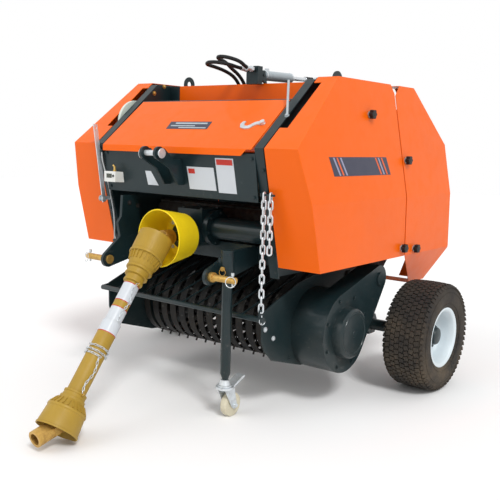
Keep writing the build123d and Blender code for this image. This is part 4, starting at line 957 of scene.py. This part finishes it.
# Rows of bolt heads: piece, places in millimetres, direction, size in metres, and whether the other side has them too
boltRows = [
    ("frameBolts", [(377, (884 - height) * 0.249, height) for height in (545, 640, 815)], (0, -0.970, -0.242), 0.0062,
     True),
    ("frameBolts", [(338, slopeAt("panel", height), height) for height in (728, 850)], panelOut, 0.0055, True),
    ("frameBolts", [(392, 714, 203), (392, 764, 203)], (1, 0, 0), 0.0075, True),
    ("frameBolts", [(375, 700, 1085)], (1, 0, 0), 0.0105, True),
    ("frameBolts", circlePlaces(74, 160, 598, 53, 6, 0.25), (1, 0, 0), 0.0055, False),
    ("frameBolts", [(x, y, 664) for x in (-48, 38) for y in (112, 196)], (0, 0, 1), 0.0065, False),
    ("armBolts", [(-236, 24, 672), (-236, 66, 660)], (1, 0, 0), 0.0068, False),
    ("slopeBolts", [(-352, 258, 1080), (-352, 312, 1109)], (1, 0, 0), 0.0064, False),
    ("pickupBolts", circlePlaces(505, 345, 262, 124, 8), (1, 0, 0), 0.0058, False),
    ("pickupBolts", circlePlaces(-372, 345, 262, 34, 4), (-1, 0, 0), 0.006, False),
    ("pickupBolts", circlePlaces(-372, 568, 421, 38, 4, tall=26), (-1, 0, 0), 0.006, False),
    ("pickupBolts", [(372, 200, 175), (372, 470, 150)], (1, 0, 0), 0.006, True),
]
boltPieces = {"frameBolts": ("frame", "slatePaint"), "armBolts": ("frame", "tineSteel"),
              "slopeBolts": ("frame", "yellowZinc"), "tailgateBolts": ("tailgate", "slatePaint"),
              "pickupBolts": ("pickup", "slatePaint")}


def makeBearings():
    meshes = {"frame": bmesh.new(), "tailgate": bmesh.new()}
    for index in range(1, chamber["rollers"]):
        turn = math.radians(chamber["firstTurn"] + chamber["stepTurn"] * index)
        depth = chamber["y"] + chamber["ring"] * math.cos(turn)
        height = chamber["z"] + chamber["ring"] * math.sin(turn)
        body = "tailgate" if index <= chamber["lastOnTailgate"] else "frame"
        for side in (1, -1):
            addBar(meshes[body], mm(side * 365.5, depth, height), mm(side * 370, depth, height), 0.0215, 28, 0.019)
            addBar(meshes[body], mm(side * 369, depth, height), mm(side * 372.5, depth, height), 0.0105, 20)
        boltRows.append((body + "Bolts", circlePlaces(358, depth, height, 33, 4), (1, 0, 0), 0.0048, True))
    for body, mesh in meshes.items():
        finishMesh(mesh, body + "Bearings", "slatePaint", body, 35.0, 0.0006, 1)


def makeBolts():
    for name, (body, materialName) in boltPieces.items():
        bm = bmesh.new()
        for piece, places, way, size, mirrored in boltRows:
            for side in (1, -1) if mirrored else (1,):
                for x, y, z in places if piece == name else ():
                    addBolt(bm, mm(side * x, y, z), (side * way[0], way[1], way[2]), size, size * 0.75)
        finishMesh(bm, name, materialName, body)


makeBearings()
makeBolts()

# Chain case: raised ring and the blank mark on its boss
boss = mm(540, 345, 262)
bm = bmesh.new()
turnedRing(bm, [(0.0, 0.0655), (0.0022, 0.067), (0.0022, 0.0735), (0.0, 0.075)], boss, (1, 0, 0), 64)
turnedRing(bm, [(0.0, 0.0125), (0.0018, 0.0115), (0.0018, 0.0001)], boss, (1, 0, 0), 32)
finishMesh(bm, "caseBossRings", "slatePaint", "pickup", 35.0, 0.0004, 1)

# Castor: ball race, axle nut, rings on both faces of the wheel
castor = {"x": 276, "pivotY": -24, "raceZ": 107.5, "axle": (276, 6, 40),
          "race": [(0.0, 0.0185), (0.001, 0.0242), (0.0055, 0.0242), (0.0075, 0.0195), (0.0075, 0.014)],
          "tread": [(0.0118, 0.030), (0.0128, 0.031), (0.0128, 0.034), (0.0118, 0.0355)],
          "hub": [(0.0118, 0.0075), (0.0145, 0.008), (0.0145, 0.0125), (0.0118, 0.0145)]}
bm = bmesh.new()
turnedRing(bm, castor["race"], mm(castor["x"], castor["pivotY"], castor["raceZ"]), (0, 0, 1), 40)
addBolt(bm, mm(298, 6, 40), (1, 0, 0), 0.0068, 0.006, False)
finishMesh(bm, "castorRace", "zincPlate", "castor", 35.0, 0.0003, 1)
bm = bmesh.new()
for side in (-1, 1):
    for part, steps in (("tread", 48), ("hub", 32)):
        profile = [(side * along, radius) for along, radius in castor[part]]
        turnedRing(bm, profile, mm(*castor["axle"]), (1, 0, 0), steps)
finishMesh(bm, "castorWheelRings", "castorCream", "castor_roll")

# Jack: locking pin with its ring
bm = bmesh.new()
addBar(bm, mm(castor["x"], -48, 500), mm(castor["x"], 2, 500), 0.0045, 14)
addBar(bm, mm(castor["x"], -52, 500), mm(castor["x"], -46, 500), 0.0075, 14)
addRing(bm, mm(castor["x"], -50, 489), (0.3, -0.9, 0), 0.0105, 0.0012, 28, 8)
finishMesh(bm, "jackPin", "yellowZinc", "frame", 35.0, 0.0003, 1)

# Cylinder: collars and port boss on the barrel, folded boot on the rod. Places are millimetres from the front eye
ram = {"front": Vector((100, 341, 1142)), "rear": Vector((100, 704, 1150)), "port": 44, "boot": 289, "folds": 8,
       "foldPitch": 6, "collars": ((24, 31, 0.0195), (183, 190.6, 0.0192)),
       "fold": [(0.0, 0.0085), (0.0015, 0.0118), (0.0045, 0.0118), (0.006, 0.0085)]}
ramWay = (ram["rear"] - ram["front"]).normalized()


def alongRam(distance):
    return mm(*(ram["front"] + ramWay * distance))


bm = bmesh.new()
for first, last, radius in ram["collars"]:
    addBar(bm, alongRam(first), alongRam(last), radius, 32)
addBar(bm, alongRam(ram["port"]) + Vector((0, 0, 0.014)), alongRam(ram["port"]) + Vector((0, 0, 0.026)), 0.0085, 6)
finishMesh(bm, "ramCollars", "zincPlate", "barrel", 35.0, 0.0005, 1)
bm = bmesh.new()
for step in range(ram["folds"]):
    turnedRing(bm, ram["fold"], alongRam(ram["boot"] + ram["foldPitch"] * step), ramWay, 28)
finishMesh(bm, "rodBoot", "hoseRubber", "piston", 50.0)

# Stay on the left slope flange, lever bolt
bm = bmesh.new()
tubeAlong(bm, [mm(384, 124, 990), mm(383, 126, 996), mm(334, 196, 1100), mm(333, 198, 1106)], 0.0042, 12)
addBolt(bm, mm(384, 124, 987.8), (0, -0.641, 0.768), 0.006, 0.006)
finishMesh(bm, "slopeStay", "ramPaint")
bm = bmesh.new()
addBolt(bm, mm(-374.2, 10, 680), (-1, 0, 0), 0.0085, 0.006)
finishMesh(bm, "leverBolt", "zincPlate")
print("stage: bolts and small parts made")

# Floor, light and camera
studio = {"floor": colour(250, 250, 250), "floorSize": 12.0, "low": 0.38, "high": 0.80, "seen": 1.0,
          "suns": {"keySun": (1.55, 14.0, (2.6, -1.5, 3.2)), "fillSun": (0.55, 40.0, (-1.5, -3.0, 2.2))}}
view = {"place": (1.791, -1.840 - ahead, 0.902), "yaw": 38.136, "pitch": -8.211, "roll": 1.564, "lens": 53.84}


def makeStudio():
    bm = bmesh.new()
    bmesh.ops.create_grid(bm, x_segments=1, y_segments=1, size=studio["floorSize"])
    mesh = bpy.data.meshes.new("floor")
    bm.to_mesh(mesh)
    bm.free()
    floor = bpy.data.objects.new("floor", mesh)
    bpy.context.scene.collection.objects.link(floor)
    material, tree, shader = blankMaterial("paleFloor")
    shader.inputs["Base Color"].default_value = studio["floor"]
    shader.inputs["Roughness"].default_value = 0.9
    shader.inputs["Specular IOR Level"].default_value = 0.1
    mesh.materials.append(material)
    world = bpy.data.worlds.new("softRoom")
    bpy.context.scene.world = world
    world.use_nodes = True
    tree = world.node_tree
    lit = tree.nodes["Background"]
    lit.inputs[0].default_value = (1.0, 1.0, 1.0, 1)
    place = tree.nodes.new("ShaderNodeTexCoord")
    parts = tree.nodes.new("ShaderNodeSeparateXYZ")
    tree.links.new(place.outputs["Generated"], parts.inputs[0])
    tree.links.new(spread(tree, parts.outputs[2], -0.1, 0.9, studio["low"], studio["high"]), lit.inputs[1])
    seen = tree.nodes.new("ShaderNodeBackground")
    seen.inputs[0].default_value = (1.0, 1.0, 1.0, 1)
    seen.inputs[1].default_value = studio["seen"]
    rays = tree.nodes.new("ShaderNodeLightPath")
    either = mathNode(tree, "MAXIMUM", rays.outputs["Is Camera Ray"], rays.outputs["Is Transmission Ray"])
    either = mathNode(tree, "MAXIMUM", either, rays.outputs["Is Glossy Ray"])
    mix = tree.nodes.new("ShaderNodeMixShader")
    tree.links.new(either, mix.inputs[0])
    tree.links.new(lit.outputs[0], mix.inputs[1])
    tree.links.new(seen.outputs[0], mix.inputs[2])
    tree.links.new(mix.outputs[0], tree.nodes["World Output"].inputs[0])
    for name, (power, softness, where) in studio["suns"].items():
        light = bpy.data.lights.new(name, "SUN")
        light.energy = power
        light.angle = math.radians(softness)
        lamp = bpy.data.objects.new(name, light)
        lamp.rotation_euler = Vector(where).to_track_quat("Z", "Y").to_euler()
        bpy.context.scene.collection.objects.link(lamp)


def makeCamera():
    yaw = math.radians(view["yaw"])
    pitch = math.radians(view["pitch"])
    roll = math.radians(view["roll"])
    forward = Vector((-math.sin(yaw) * math.cos(pitch), math.cos(yaw) * math.cos(pitch), math.sin(pitch)))
    right = forward.cross(Vector((0, 0, 1))).normalized()
    up = right.cross(forward)
    acrossView = right * math.cos(roll) + up * math.sin(roll)
    upView = -right * math.sin(roll) + up * math.cos(roll)
    lens = bpy.data.cameras.new("photoView")
    lens.lens = view["lens"]
    lens.sensor_width = 36.0
    lens.clip_end = 100.0
    camera = bpy.data.objects.new("photoView", lens)
    turn = Matrix((acrossView, upView, -forward)).transposed().to_4x4()
    camera.matrix_world = Matrix.Translation(view["place"]) @ turn
    bpy.context.scene.collection.objects.link(camera)
    bpy.context.scene.camera = camera


makeStudio()
makeCamera()
bpy.context.scene.view_settings.view_transform = "Standard"
print("stage: studio and camera made")
